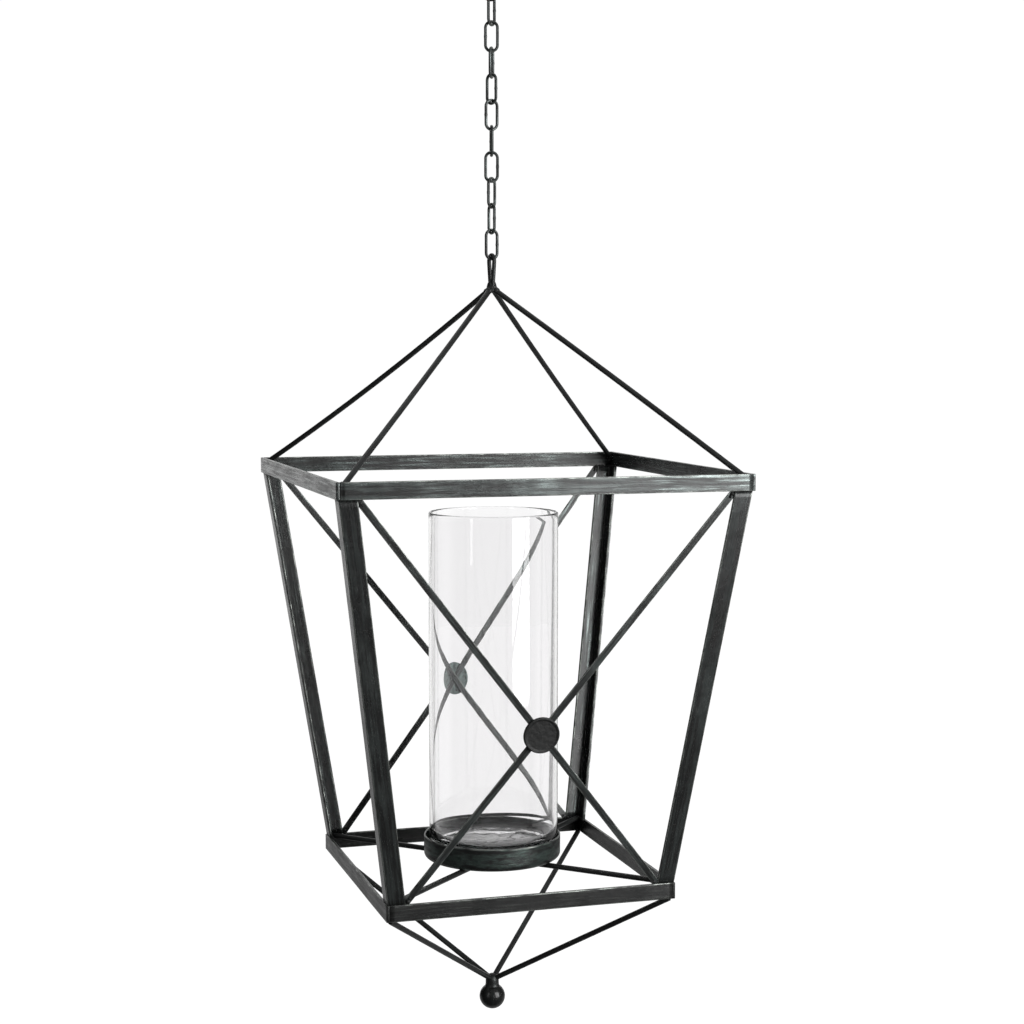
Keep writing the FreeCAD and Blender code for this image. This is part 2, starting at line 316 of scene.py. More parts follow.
def edge_wear_group():
    """Broken bare line along the worn edges."""
    tree, inward, outward = new_group(
        "Edge wear", "ShaderNodeTree",
        [("Grain", VECTOR, None), ("Edge", NUMBER, 0.0), ("Amount", NUMBER, 0.5)], [("Bare", NUMBER, None)])
    drawn = stretched(tree, inward.outputs["Grain"], 420.0, 75.0)
    breaks = speckle(tree, drawn, 1.0, detail=5.0, roughness=0.65)
    reach = sums(tree, "MULTIPLY_ADD", inward.outputs["Amount"], 0.5, breaks)
    worn = spread(tree, inward.outputs["Edge"], 0.45, 1.0)
    plug(tree, outward, "Bare", sums(tree, "MULTIPLY", worn, spread(tree, reach, 0.62, 0.9)))
    return tree


def scorch_group():
    """Black, slightly brown bloom beside the welds, with a ragged border."""
    tree, inward, outward = new_group(
        "Weld scorch", "ShaderNodeTree",
        [("Grain", VECTOR, None), ("Heat", NUMBER, 0.0), ("Reach", NUMBER, 0.5)],
        [("Scorch", NUMBER, None), ("Rust", NUMBER, None)])
    ragged = speckle(tree, inward.outputs["Grain"], 170.0, detail=4.0, roughness=0.6)
    heat = sums(tree, "MULTIPLY_ADD", ragged, 0.55, inward.outputs["Heat"])
    edge = sums(tree, "SUBTRACT", 1.25, inward.outputs["Reach"])
    scorch = spread(tree, sums(tree, "SUBTRACT", heat, edge), -0.12, 0.18)
    pits = spread(tree, speckle(tree, inward.outputs["Grain"], 620.0, detail=3.0), 0.52, 0.68)
    plug(tree, outward, "Scorch", scorch)
    plug(tree, outward, "Rust", sums(tree, "MULTIPLY", pits, sums(tree, "MULTIPLY_ADD", scorch, 0.6, 0.12)))
    return tree


def forge_skin_group():
    """Height of the hammered and pitted skin."""
    tree, inward, outward = new_group(
        "Forge skin", "ShaderNodeTree",
        [("Grain", VECTOR, None), ("Dimple Size", NUMBER, 0.004), ("Pits", NUMBER, 0.5)],
        [("Height", NUMBER, None)])
    cells = add(tree, "ShaderNodeTexVoronoi", {"feature": "SMOOTH_F1"}, Vector=inward.outputs["Grain"],
                Scale=sums(tree, "DIVIDE", 1.0, inward.outputs["Dimple Size"]), Smoothness=1.0)
    pits = spread(tree, speckle(tree, inward.outputs["Grain"], 1400.0, detail=3.0), 0.55, 0.75)
    dips = sums(tree, "MULTIPLY", pits, inward.outputs["Pits"])
    plug(tree, outward, "Height", sums(tree, "SUBTRACT", cells.outputs["Distance"], dips))
    return tree


EFFECTS = {
    "brushing": brushing_group,
    "edge_wear": edge_wear_group,
    "scorch": scorch_group,
    "forge_skin": forge_skin_group,
}
built_effects = {}


def effect(tree, name, **inputs):
    """Places a shared effect in a material."""
    if name not in built_effects:
        built_effects[name] = EFFECTS[name]()
    return add(tree, "ShaderNodeGroup", {"node_tree": built_effects[name]}, **inputs)


def attribute(tree, name, output="Fac"):
    """Reads a piece's own attribute."""
    return add(tree, "ShaderNodeAttribute", {"attribute_name": name}).outputs[output]


def new_material(name):
    """A material with an empty tree, its Principled shader and its output."""
    made = bpy.data.materials.new(name)
    made.use_nodes = True
    tree = made.node_tree
    tree.nodes.clear()
    shader = tree.nodes.new("ShaderNodeBsdfPrincipled")
    out = tree.nodes.new("ShaderNodeOutputMaterial")
    tree.links.new(shader.outputs[0], out.inputs["Surface"])
    return made, tree, shader


built_finishes = {}


def iron(name, rub_and_painted_light=1.0, fineness=480.0, streak=0.05, gloss=0.42, scorch=0.5, wear=1.0, dimple=0.006,
         skin=0.02, tint=(1.0, 1.0, 1.0)):
    """Blackened iron: brushed along its length, bare on its edges and scorched at its welds; its brushed amount
    and tint also make the painted lit and shaded copies of some finishes.
    """
    if name in built_finishes:
        return built_finishes[name]
    finish = bpy.context.scene.lantern_finish
    made, tree, shader = new_material("forged_" + name)
    built_finishes[name] = made
    grain = attribute(tree, "grain", "Vector")
    brushed = effect(tree, "brushing", Grain=grain, Fineness=fineness, Streak_Length=streak,
                     Amount=finish.rubbing * rub_and_painted_light)
    bare = effect(tree, "edge_wear", Grain=grain, Edge=attribute(tree, "edge"), Amount=finish.wear * wear)
    burnt = effect(tree, "scorch", Grain=grain, Heat=attribute(tree, "heat"), Reach=scorch)
    # the tint and the brushed amount also paint light and shade, in the lit and shaded copies of the rail and
    # plate finishes
    rubbed = [a * b for a, b in zip(finish.rubbed, tint)]
    thin = sums(tree, "MULTIPLY", brushed.outputs["Streaks"],
                sums(tree, "MULTIPLY_ADD", brushed.outputs["Patches"], 0.65, 0.35))
    skin_colour = blend_colours(tree, sums(tree, "MULTIPLY", thin, rub_and_painted_light, clamp=True), finish.black, rubbed)
    for factor, laid_over in ((sums(tree, "MULTIPLY", bare.outputs[0], 0.8), finish.bare),
                              (burnt.outputs["Scorch"], finish.scorch),
                              (sums(tree, "MULTIPLY", burnt.outputs["Rust"], 0.5), finish.rust)):
        skin_colour = blend_colours(tree, factor, skin_colour, laid_over)
    plug(tree, shader, "Base Color", skin_colour)
    matt = sums(tree, "MULTIPLY_ADD", burnt.outputs["Scorch"], 0.32, gloss)
    matt = sums(tree, "MULTIPLY_ADD", brushed.outputs["Streaks"], -0.08, matt)
    matt = sums(tree, "MULTIPLY_ADD", brushed.outputs["Patches"], 0.08, matt, clamp=True)
    plug(tree, shader, "Roughness", matt)
    steel = sums(tree, "MAXIMUM", sums(tree, "MULTIPLY", thin, 1.1), bare.outputs[0])
    steel = sums(tree, "MULTIPLY", steel, sums(tree, "SUBTRACT", 1.0, burnt.outputs["Scorch"]), clamp=True)
    plug(tree, shader, "Metallic", steel)
    shader.inputs["Specular IOR Level"].default_value = 0.35
    hammered = effect(tree, "forge_skin", Grain=grain, Dimple_Size=dimple)
    height = sums(tree, "MULTIPLY_ADD", brushed.outputs["Streaks"], 0.35, hammered.outputs["Height"])
    bump = add(tree, "ShaderNodeBump", Strength=1.0, Distance=skin * MM * 10, Height=height)
    plug(tree, shader, "Normal", bump.outputs["Normal"])
    return made


def clear_glass():
    """Clear glass, with painted shade where it is seen edge on, and faintly green in its foot."""
    made, tree, shader = new_material("clear_lantern_glass")
    # painted shade: the colour goes grey where the glass turns edge on to the view, standing in for the dark
    # edges its surroundings give it
    facing = add(tree, "ShaderNodeLayerWeight", Blend=0.5).outputs["Facing"]
    plain = sums(tree, "SUBTRACT", 1.0, attribute(tree, "edge"))
    turned = sums(tree, "MULTIPLY", spread(tree, facing, 0.62, 0.96), plain)
    body = blend_colours(tree, turned, (0.966, 0.962, 0.966), (0.78, 0.79, 0.77))
    body = blend_colours(tree, attribute(tree, "heat"), body, (0.925, 0.96, 0.95))
    plug(tree, shader, "Base Color", body)
    for label, value in (("Roughness", 0.0), ("IOR", 1.5), ("Transmission Weight", 1.0)):
        shader.inputs[label].default_value = value
    grain = attribute(tree, "grain", "Vector")
    ripple = speckle(tree, stretched(tree, grain, 55.0, 9.0), 1.0, detail=1.0)
    bump = add(tree, "ShaderNodeBump", Strength=0.10, Distance=0.4 * MM, Height=ripple)
    plug(tree, shader, "Normal", bump.outputs["Normal"])
    return made


# ---------------------------------------------------------------- mesh helpers

def give(mesh, name, kind, values):
    """Stores a value for each vertex; kind is FLOAT or FLOAT_VECTOR."""
    made = mesh.attributes.get(name) or mesh.attributes.new(name, kind, "POINT")
    flat = values if kind == "FLOAT" else [part for value in values for part in value]
    made.data.foreach_set("value" if kind == "FLOAT" else "vector", flat)


def face_outwards(mesh):
    """Turns the faces of a closed mesh outwards."""
    work = bmesh.new()
    work.from_mesh(mesh)
    bmesh.ops.recalc_face_normals(work, faces=work.faces)
    work.to_mesh(mesh)
    work.free()
    return mesh


def closed_mesh(name, places, faces, grain, edge=None, heat=None):
    """A closed mesh with its grain, wear and heat."""
    mesh = bpy.data.meshes.new(name)
    mesh.from_pydata(places, [], faces)
    give(mesh, "grain", "FLOAT_VECTOR", grain)
    for label, values in (("edge", edge), ("heat", heat)):
        if values:
            give(mesh, label, "FLOAT", values)
    return face_outwards(mesh)


def tube_faces(count, rings):
    """Faces of a tube with count points in each ring, and of its two ends."""
    faces = []
    for ring in range(rings - 1):
        for k in range(count):
            a, b = ring * count + k, ring * count + (k + 1) % count
            faces.append((a, b, b + count, a + count))
    faces.append(tuple(range(count)))
    faces.append(tuple(range((rings - 1) * count, rings * count)))
    return faces


def linked(name, data):
    """A new object with the data, in the scene."""
    made = bpy.data.objects.new(name, data)
    bpy.context.scene.collection.objects.link(made)
    return made


def evaluated_mesh(holder):
    """The plain mesh that an object's modifiers make; the object is removed."""
    evaluated = holder.evaluated_get(bpy.context.evaluated_depsgraph_get())
    mesh = bpy.data.meshes.new_from_object(evaluated)
    bpy.data.objects.remove(holder)
    return mesh


def piece(name, mesh, body, material, replaced=()):
    """A finished piece: smooth, in its finish, riding on its body and standing for its frame nodes."""
    mesh.name = name
    mesh.materials.clear()
    mesh.materials.append(material)
    mesh.polygons.foreach_set("use_smooth", [True] * len(mesh.polygons))
    made = linked(name, mesh)
    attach(made, body)
    if replaced:
        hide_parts(*replaced)
    return made


def rounded_outline(corners, step):
    """Closed outline round the corners (x, y, radius), as (x, y, edge); edge is 1 on an outer rounding."""
    arcs = []
    for index, (x, y, radius) in enumerate(corners):
        here = Vector((x, y))
        back = Vector(corners[index - 1][:2]) - here
        ahead = Vector(corners[(index + 1) % len(corners)][:2]) - here
        worn = 1.0 if back.cross(ahead) < 0 else 0.0
        first = here + back.normalized() * radius
        last = here + ahead.normalized() * radius
        arcs.append([((1 - t) ** 2 * first + 2 * t * (1 - t) * here + t * t * last, worn)
                     for t in (0, 1 / 3, 2 / 3, 1)])
    points = []
    for index, arc in enumerate(arcs):
        points += [(p.x, p.y, worn) for p, worn in arc]
        start, end = arc[-1][0], arcs[(index + 1) % len(arcs)][0][0]
        count = int((end - start).length / step)
        for k in range(1, count + 1):
            p = start.lerp(end, k / (count + 1))
            points.append((p.x, p.y, 0.0))
    return points


def warmth(distance, reach=0.05):
    """How much of a weld's heat is left at a distance from it."""
    return max(0.0, 1.0 - distance / reach)


def straight_rings(start, end, across, up, spacing, inset=0.0, wave=0.0, seed=0.0, heat_marks=(0.0, 1.0)):
    """Rings (place, across, up, along, heat, inset), a little off straight between start and end."""
    run = end - start
    count = max(8, int(run.length / spacing))
    shares = [k / count for k in range(count + 1)]
    if inset:
        step = inset / run.length
        between = [s for s in shares if step * 2 < s < 1 - step * 2]
        shares = [0.0, step * 0.35, step] + between + [1 - step, 1 - step * 0.35, 1.0]
    rings = []
    for index, s in enumerate(shares):
        along = s * run.length
        sway = wave * min(1.0, 6 * s * (1 - s))
        drift = across * (sway * noise.noise(Vector((seed, along * 11, 0.3))))
        drift = drift + up * (sway * noise.noise(Vector((along * 9, seed, 4.1))))
        sunk = 0.0
        if inset and index in (0, len(shares) - 1):
            sunk = inset
        elif inset and index in (1, len(shares) - 2):
            sunk = inset * 0.25
        heat = max(warmth(abs(s - mark) * run.length) for mark in heat_marks)
        rings.append((start + run * s + drift, across, up, along, heat, sunk))
    return rings


def swept_mesh(name, outline, rings, shift=0.0):
    """Skins the outline along the rings and closes both ends; shift moves the grain between pieces."""
    places, grain, edge, heat = [], [], [], []
    for index, (place, across, up, along, warm, sunk) in enumerate(rings):
        end = 0.25 if sunk else 0.0
        for x, y, worn in outline:
            a = x - math.copysign(min(sunk, abs(x)), x)
            b = y - math.copysign(min(sunk, abs(y)), y)
            places.append(place + across * a + up * b)
            grain.append((x + shift, y - shift, along + shift))
            edge.append(min(worn, end) if sunk else worn)
            heat.append(warm)
    return closed_mesh(name, places, tube_faces(len(outline), len(rings)), grain, edge, heat)


def round_part(centre_r, centre_z, radius, from_deg, to_deg, count, edge=0.0):
    """Points (r, z, edge) on an arc of a lathe outline."""
    points = []
    for k in range(count + 1):
        a = math.radians(from_deg + (to_deg - from_deg) * k / count)
        points.append((centre_r + radius * math.cos(a), centre_z + radius * math.sin(a), edge))
    return points


def ramp(first, last, count):
    """Points (r, z, edge) between two points, both left out."""
    (r, z), (last_r, last_z) = first, last
    return [(r + (last_r - r) * k / (count + 1), z + (last_z - z) * k / (count + 1), 0.0)
            for k in range(1, count + 1)]


def lathed_mesh(name, outline, segments, spun=True, uneven=0.0, shift=0.0, heat=None):
    """Turns an outline of (r, z, edge), from axis to axis, about Z. Spun grain runs round the axis."""
    reach = max(r for r, z, worn in outline)
    rows, places, grain, edge, warm = [], [], [], [], []
    for r, z, worn in outline:
        row = []
        for k in range(1 if r < 1e-9 else segments):
            turn = 2 * math.pi * k / segments
            c, s = math.cos(turn), math.sin(turn)
            push = uneven * noise.noise(Vector((c * r * 60, s * r * 60, z * 60 + shift))) if uneven else 0.0
            row.append(len(places))
            out = r + push if r else 0.0
            places.append((out * c, out * s, z + push * 0.4))
            round_grain = (r + shift, z, reach * abs(turn - math.pi))
            grain.append(round_grain if spun else (r * c + shift, r * s, z + shift))
            edge.append(worn)
            warm.append(heat(r, z) if heat else 0.0)
        rows.append(row)
    faces = []
    for a, b in zip(rows, rows[1:]):
        for k in range(segments):
            following = (k + 1) % segments
            if len(a) == 1 and len(b) > 1:
                faces.append((a[0], b[k], b[following]))
            elif len(b) == 1 and len(a) > 1:
                faces.append((a[k], a[following], b[0]))
            elif len(a) > 1:
                faces.append((a[k], a[following], b[following], b[k]))
    return closed_mesh(name, places, faces, grain, edge, warm)


def cut_away(mesh, planes):
    """Cuts the mesh at planes (point, outward normal), keeps the inner side and closes each cut."""
    work = bmesh.new()
    work.from_mesh(mesh)
    for point, outward in planes:
        everything = list(work.verts) + list(work.edges) + list(work.faces)
        bmesh.ops.bisect_plane(work, geom=everything, plane_co=point, plane_no=outward, clear_outer=True)
        open_edges = [e for e in work.edges if e.is_boundary]
        bmesh.ops.holes_fill(work, edges=open_edges, sides=0)
    bmesh.ops.recalc_face_normals(work, faces=work.faces)
    work.to_mesh(mesh)
    work.free()
    return mesh


# ---------------------------------------------------------------- geometry node trees

def geometry_tree(name, inputs):
    """An empty geometry node tree with its group input and output."""
    tree, inward, outward = new_group(name, "GeometryNodeTree", [("Geometry", SHAPE, None)] + inputs,
                                      [("Geometry", SHAPE, None)])
    return tree, inward.outputs, outward


def named(tree, name, kind="FLOAT"):
    """Reads a stored attribute in a geometry tree."""
    return add(tree, "GeometryNodeInputNamedAttribute", {"data_type": kind}, Name=name).outputs["Attribute"]


def store(tree, shape, name, value, kind="FLOAT"):
    """Stores a value on each point of the shape."""
    made = add(tree, "GeometryNodeStoreNamedAttribute", {"data_type": kind, "domain": "POINT"},
               Geometry=shape, Name=name, Value=value)
    return made.outputs[0]


def shifted_grain(tree, shape, shift):
    """Moves the stored grain, so that pieces differ."""
    grain = named(tree, "grain", "FLOAT_VECTOR")
    moved = vector_sums(tree, "ADD", grain, joined_vector(tree, shift, shift, shift))
    return store(tree, shape, "grain", moved, "FLOAT_VECTOR")


def pushed_out(tree, shape, amount):
    """Moves each point along its normal."""
    along_normal = scaled(tree, tree.nodes.new("GeometryNodeInputNormal").outputs[0], amount)
    return add(tree, "GeometryNodeSetPosition", Geometry=shape, Offset=along_normal).outputs[0]


def swept_in_tree(tree, path, radius, facets, caps):
    """Sweeps a circle along the path; stores along, total and ring on the way."""
    length_so_far = tree.nodes.new("GeometryNodeSplineParameter").outputs["Length"]
    path = store(tree, path, "along", length_so_far)
    path = store(tree, path, "total", tree.nodes.new("GeometryNodeSplineLength").outputs["Length"])
    circle = add(tree, "GeometryNodeCurvePrimitiveCircle", {"mode": "RADIUS"}, Resolution=facets,
                 Radius=radius)
    position = tree.nodes.new("GeometryNodeInputPosition").outputs[0]
    ring = store(tree, circle.outputs["Curve"], "ring", position, "FLOAT_VECTOR")
    made = add(tree, "GeometryNodeCurveToMesh", Curve=path, Profile_Curve=ring, Fill_Caps=caps)
    ring_parts = taken_apart(tree, named(tree, "ring", "FLOAT_VECTOR"))
    grain = joined_vector(tree, ring_parts[0], ring_parts[1], named(tree, "along"))
    return store(tree, made.outputs[0], "grain", grain, "FLOAT_VECTOR")


def closing(tree, outward, shape, material):
    """Smooth faces, real instances and the finish, which every tree ends in."""
    smooth = add(tree, "GeometryNodeSetShadeSmooth", Geometry=shape)
    real = add(tree, "GeometryNodeRealizeInstances", Geometry=smooth.outputs[0])
    painted = add(tree, "GeometryNodeSetMaterial", Geometry=real.outputs[0], Material=material)
    plug(tree, outward, 0, painted.outputs[0])
    return tree


def forged_rod_tree():
    """Round stock along a line of edges, a little uneven, with the heat of the welds at its ends."""
    tree, given, outward = geometry_tree("Forged rod", [
        ("Radius", NUMBER, 0.0026), ("Spacing", NUMBER, 0.003), ("Facets", "NodeSocketInt", 16),
        ("Unevenness", NUMBER, 0.0001), ("Heat Reach", NUMBER, 0.05), ("Shift", NUMBER, 0.0),
        ("Finish", "NodeSocketMaterial", None)])
    curve = add(tree, "GeometryNodeMeshToCurve", Mesh=given["Geometry"])
    even = add(tree, "GeometryNodeResampleCurve", {"mode": "LENGTH"}, Curve=curve.outputs[0],
               Length=given["Spacing"])
    shape = swept_in_tree(tree, even.outputs[0], given["Radius"], given["Facets"], True)
    left_over = sums(tree, "SUBTRACT", named(tree, "total"), named(tree, "along"))
    ends = sums(tree, "MINIMUM", named(tree, "along"), left_over)
    heat = sums(tree, "SUBTRACT", 1.0, sums(tree, "DIVIDE", ends, given["Heat Reach"]), clamp=True)
    shape = store(tree, shape, "heat", heat)
    shape = store(tree, shape, "edge", 0.35)
    shape = shifted_grain(tree, shape, given["Shift"])
    rough = speckle(tree, stretched(tree, named(tree, "grain", "FLOAT_VECTOR"), 160.0, 70.0), 1.0, detail=2.0)
    rough = sums(tree, "SUBTRACT", rough, 0.5)
    shape = pushed_out(tree, shape, sums(tree, "MULTIPLY", rough, given["Unevenness"]))
    return closing(tree, outward, shape, given["Finish"])


def welded_link_tree():
    """Straight-sided oval link in the XZ plane, with its weld on one side."""
    tree, given, outward = geometry_tree("Welded link", [
        ("Wire", NUMBER, 0.0028), ("Width", NUMBER, 0.0142), ("Length", NUMBER, 0.03),
        ("Weld", NUMBER, 0.0002), ("Facets", "NodeSocketInt", 20), ("Shift", NUMBER, 0.0),
        ("Finish", "NodeSocketMaterial", None)])
    across = sums(tree, "SUBTRACT", given["Width"], given["Wire"])
    frame_line = add(tree, "GeometryNodeCurvePrimitiveQuadrilateral", {"mode": "RECTANGLE"}, Width=across,
                     Height=sums(tree, "SUBTRACT", given["Length"], given["Wire"]))
    oval = add(tree, "GeometryNodeFilletCurve", {"mode": "POLY"}, Curve=frame_line.outputs[0], Count=14,
               Radius=sums(tree, "MULTIPLY", across, 0.4999), Limit_Radius=True)
    even = add(tree, "GeometryNodeResampleCurve", {"mode": "LENGTH"}, Curve=oval.outputs[0], Length=0.0006)
    wire_radius = sums(tree, "MULTIPLY", given["Wire"], 0.5)
    shape = swept_in_tree(tree, even.outputs[0], wire_radius, given["Facets"], False)
    place = taken_apart(tree, tree.nodes.new("GeometryNodeInputPosition").outputs[0])
    off_weld = sums(tree, "DIVIDE", place[1], 0.0011)
    fall = sums(tree, "MULTIPLY", sums(tree, "MULTIPLY", off_weld, off_weld), -1.0)
    bulge = sums(tree, "POWER", math.e, fall)
    bulge = sums(tree, "MULTIPLY", bulge, sums(tree, "GREATER_THAN", place[0], 0.0))
    shape = store(tree, shape, "heat", sums(tree, "MULTIPLY", bulge, 0.9))
    crown_start = sums(tree, "MULTIPLY", given["Length"], 0.30)
    crown = sums(tree, "SUBTRACT", sums(tree, "ABSOLUTE", place[1]), crown_start)
    shape = store(tree, shape, "edge", sums(tree, "MULTIPLY", crown, 150.0, clamp=True))
    shape = shifted_grain(tree, shape, given["Shift"])
    shape = pushed_out(tree, shape, sums(tree, "MULTIPLY", bulge, given["Weld"]))
    upright = add(tree, "GeometryNodeTransform", Geometry=shape, Rotation=(math.pi / 2, 0, 0))
    return closing(tree, outward, upright.outputs[0], given["Finish"])


def weld_bead_tree():
    """A lumpy bead of weld on each point, as large as the point's bead value says."""
    tree, given, outward = geometry_tree("Weld beads", [
        ("Lumps", NUMBER, 0.35), ("Seed", "NodeSocketInt", 0), ("Finish", "NodeSocketMaterial", None)])
    points = add(tree, "GeometryNodeMeshToPoints", Mesh=given["Geometry"])
    ball = add(tree, "GeometryNodeMeshIcoSphere", Radius=1.0, Subdivisions=4)
    turn = add(tree, "FunctionNodeRandomValue", {"data_type": "FLOAT_VECTOR"}, Max=(6.28, 6.28, 6.28),
               Seed=given["Seed"])
    squeeze = add(tree, "FunctionNodeRandomValue", {"data_type": "FLOAT_VECTOR"}, Min=(0.8, 0.8, 0.8),
                  Max=(1.2, 1.2, 1.2), Seed=sums(tree, "ADD", given["Seed"], 1.0))
    size = scaled(tree, squeeze.outputs["Value"], named(tree, "bead"))
    beads = add(tree, "GeometryNodeInstanceOnPoints", Points=points.outputs[0], Instance=ball.outputs["Mesh"],
                Rotation=turn.outputs["Value"], Scale=size)
    real = add(tree, "GeometryNodeRealizeInstances", Geometry=beads.outputs[0])
    position = tree.nodes.new("GeometryNodeInputPosition").outputs[0]
    lumps = sums(tree, "SUBTRACT", speckle(tree, position, 420.0, detail=1.5), 0.5)
    height = sums(tree, "MULTIPLY", sums(tree, "MULTIPLY", lumps, given["Lumps"]), 4 * MM)
    shape = pushed_out(tree, real.outputs[0], height)
    shape = store(tree, shape, "grain", position, "FLOAT_VECTOR")
    shape = store(tree, shape, "heat", 1.0)
    shape = store(tree, shape, "edge", 0.0)
    return closing(tree, outward, shape, given["Finish"])


TREES = {"rod": forged_rod_tree, "link": welded_link_tree, "beads": weld_bead_tree}
built_trees = {}


def grown(kind, carrier_mesh, **inputs):
    """Runs a tree on a carrier mesh and returns the plain mesh that comes of it."""
    if kind not in built_trees:
        built_trees[kind] = TREES[kind]()
    tree = built_trees[kind]
    carrier = linked("carrier", carrier_mesh)
    modifier = carrier.modifiers.new("grow", "NODES")
    modifier.node_group = tree
    for item in tree.interface.items_tree:
        label = item.name.replace(" ", "_")
        if item.in_out == "INPUT" and label in inputs:
            modifier[item.identifier] = inputs[label]
    mesh = evaluated_mesh(carrier)
    for spare in ("along", "total", "ring", "bead"):
        if spare in mesh.attributes:
            mesh.attributes.remove(mesh.attributes[spare])
    return mesh


def line_mesh(points):
    """A carrier mesh of edges through the points."""
    mesh = bpy.data.meshes.new("line")
    mesh.from_pydata([tuple(p) for p in points], [(k, k + 1) for k in range(len(points) - 1)], [])
    return mesh


def bead_mesh(places):
    """A carrier mesh of points; places are (point, bead radius)."""
    mesh = bpy.data.meshes.new("points")
    mesh.from_pydata([tuple(p) for p, radius in places], [], [])
    give(mesh, "bead", "FLOAT", [radius for p, radius in places])
    return mesh


# ---------------------------------------------------------------- the pieces, one operator each

class PieceOperator:
    """What the operators share."""

    bl_options = {"REGISTER", "UNDO"}


def swing_yaws():
    """The angle that each hanging body's plane stands at, by body name, read from its hinge axis."""
    yaws = {}
    for joint in frame["joints"]:
        if joint["type"] == "hinge":
            x, y, z = joint["axis"]
            yaws[joint["child"]] = math.atan2(-x, y)
    return yaws


def heading(yaw):
    """Level unit vector at the angle yaw from +X."""
    return Vector((math.cos(yaw), math.sin(yaw), 0))


def in_plane(yaw, across, z):
    """A point of the upright plane at yaw, across from the axis at height z."""
    return heading(yaw) * across + UP * z


def corner_point(signs, reach, z):
    """A point at height z over one corner of a square whose half side is reach."""
    return Vector((signs[0] * reach, signs[1] * reach, z))


class LANTERN_OT_hook(PieceOperator, bpy.types.Operator):
    """Makes the screw hook in the ceiling"""

    bl_idname = "lantern.hook"
    bl_label = "Ceiling Hook"

    def execute(self, context):
        wire = sizes().hook_wire
        lowest = low("ceiling_hook").z
        screw_top = high("ceiling_hook").z
        collar_radius = high("ceiling_hook").x
        collar_under = -2 * MM
        ceiling_gap = -0.02 * MM
        bend = 9 * MM
        centre = lowest + wire / 2 + bend
        yaw = math.radians(-46)
        swept_degrees = 305
        path = [Vector((0, 0, collar_under * 0.5)), Vector((0, 0, (collar_under + centre + bend) / 2))]
        turn_steps = 40
        for k in range(turn_steps + 1):
            a = math.radians(90 + swept_degrees * k / turn_steps)
            path.append(in_plane(yaw, bend * math.cos(a), centre + bend * math.sin(a)))
        finish = iron("hook_steel", rub_and_painted_light=0.5, gloss=0.40, streak=0.02, scorch=0.2)
        body = grown("rod", line_mesh(path), Radius=wire / 2, Spacing=0.0007, Facets=24, Unevenness=0.00012,
                     Heat_Reach=0.004, Finish=finish)
        piece("hook_curve", body, "hook", finish, ["ceiling_hook"])
        tip = path[-1]
        cap = lathed_mesh("hook_tip", round_part(0, 0, wire / 2, -90, 90, 14), 24)
        cap.transform(Matrix.Translation(tip))
        piece("hook_tip", cap, "hook", finish)
        edge = 0.5 * MM
        collar = [(0, collar_under, 0)] + ramp((0, collar_under), (collar_radius - edge, collar_under), 6)
        collar += round_part(collar_radius - edge, collar_under + edge, edge, -90, 0, 4, 1.0)
        collar += [(collar_radius, ceiling_gap, 0.3), (0, ceiling_gap, 0)]
        piece("hook_collar", lathed_mesh("collar", collar, 64), "hook", finish)
        piece("hook_screw", self.screw(screw_top), "hook", finish)
        return {"FINISHED"}

    def screw(self, top):
        """Shank with a cut thread and a tapered point."""
        pitch, root, crest, facets = 1.9 * MM, 1.75 * MM, 2.4 * MM, 28
        rows_per_turn = 12
        rows = int(top / pitch * rows_per_turn)
        places = []
        for row in range(rows + 1):
            z = top * row / rows
            taper = min(1.0, (top - z) / (5 * MM) + 0.02)
            for k in range(facets):
                phase = (z / pitch - k / facets) % 1.0
                ridge = max(0.0, 1 - abs(phase - 0.5) / 0.28) * min(1.0, z / (2 * MM))
                radius = (root + (crest - root) * ridge) * taper
                a = 2 * math.pi * k / facets
                places.append((radius * math.cos(a), radius * math.sin(a), z))
        return closed_mesh("screw", places, tube_faces(facets, rows + 1), places)


class LANTERN_OT_chain(PieceOperator, bpy.types.Operator):
    """Makes the welded chain, each link on its own swinging body"""

    bl_idname = "lantern.chain"
    bl_label = "Chain"

    def execute(self, context):
        yaws = swing_yaws()
        finish = iron("chain_steel", rub_and_painted_light=0.8, streak=0.012, gloss=0.36, scorch=0.55, wear=1.3, dimple=0.003,
                      skin=0.008)
        links = sorted(n for n in frame["nodes"] if n.startswith("chain_link"))
        for number, node in enumerate(links):
            body = "link_" + node[-2:]
            top, bottom = high(node).z, low(node).z
            mesh = grown("link", line_mesh([(0, 0, 0), (0, 0, 1 * MM)]), Wire=sizes().link_wire,
                         Width=sizes().link_width, Length=top - bottom, Weld=sizes().link_weld,
                         Shift=number * 0.37, Finish=finish)
            turned = yaws[body] + (math.pi if number % 3 == 1 else 0.0)
            mesh.transform(Matrix.Translation((0, 0, (top + bottom) / 2)) @ Matrix.Rotation(turned, 4, "Z"))
            piece("link_%02d" % (number + 1), mesh, body, finish, [node])
        return {"FINISHED"}


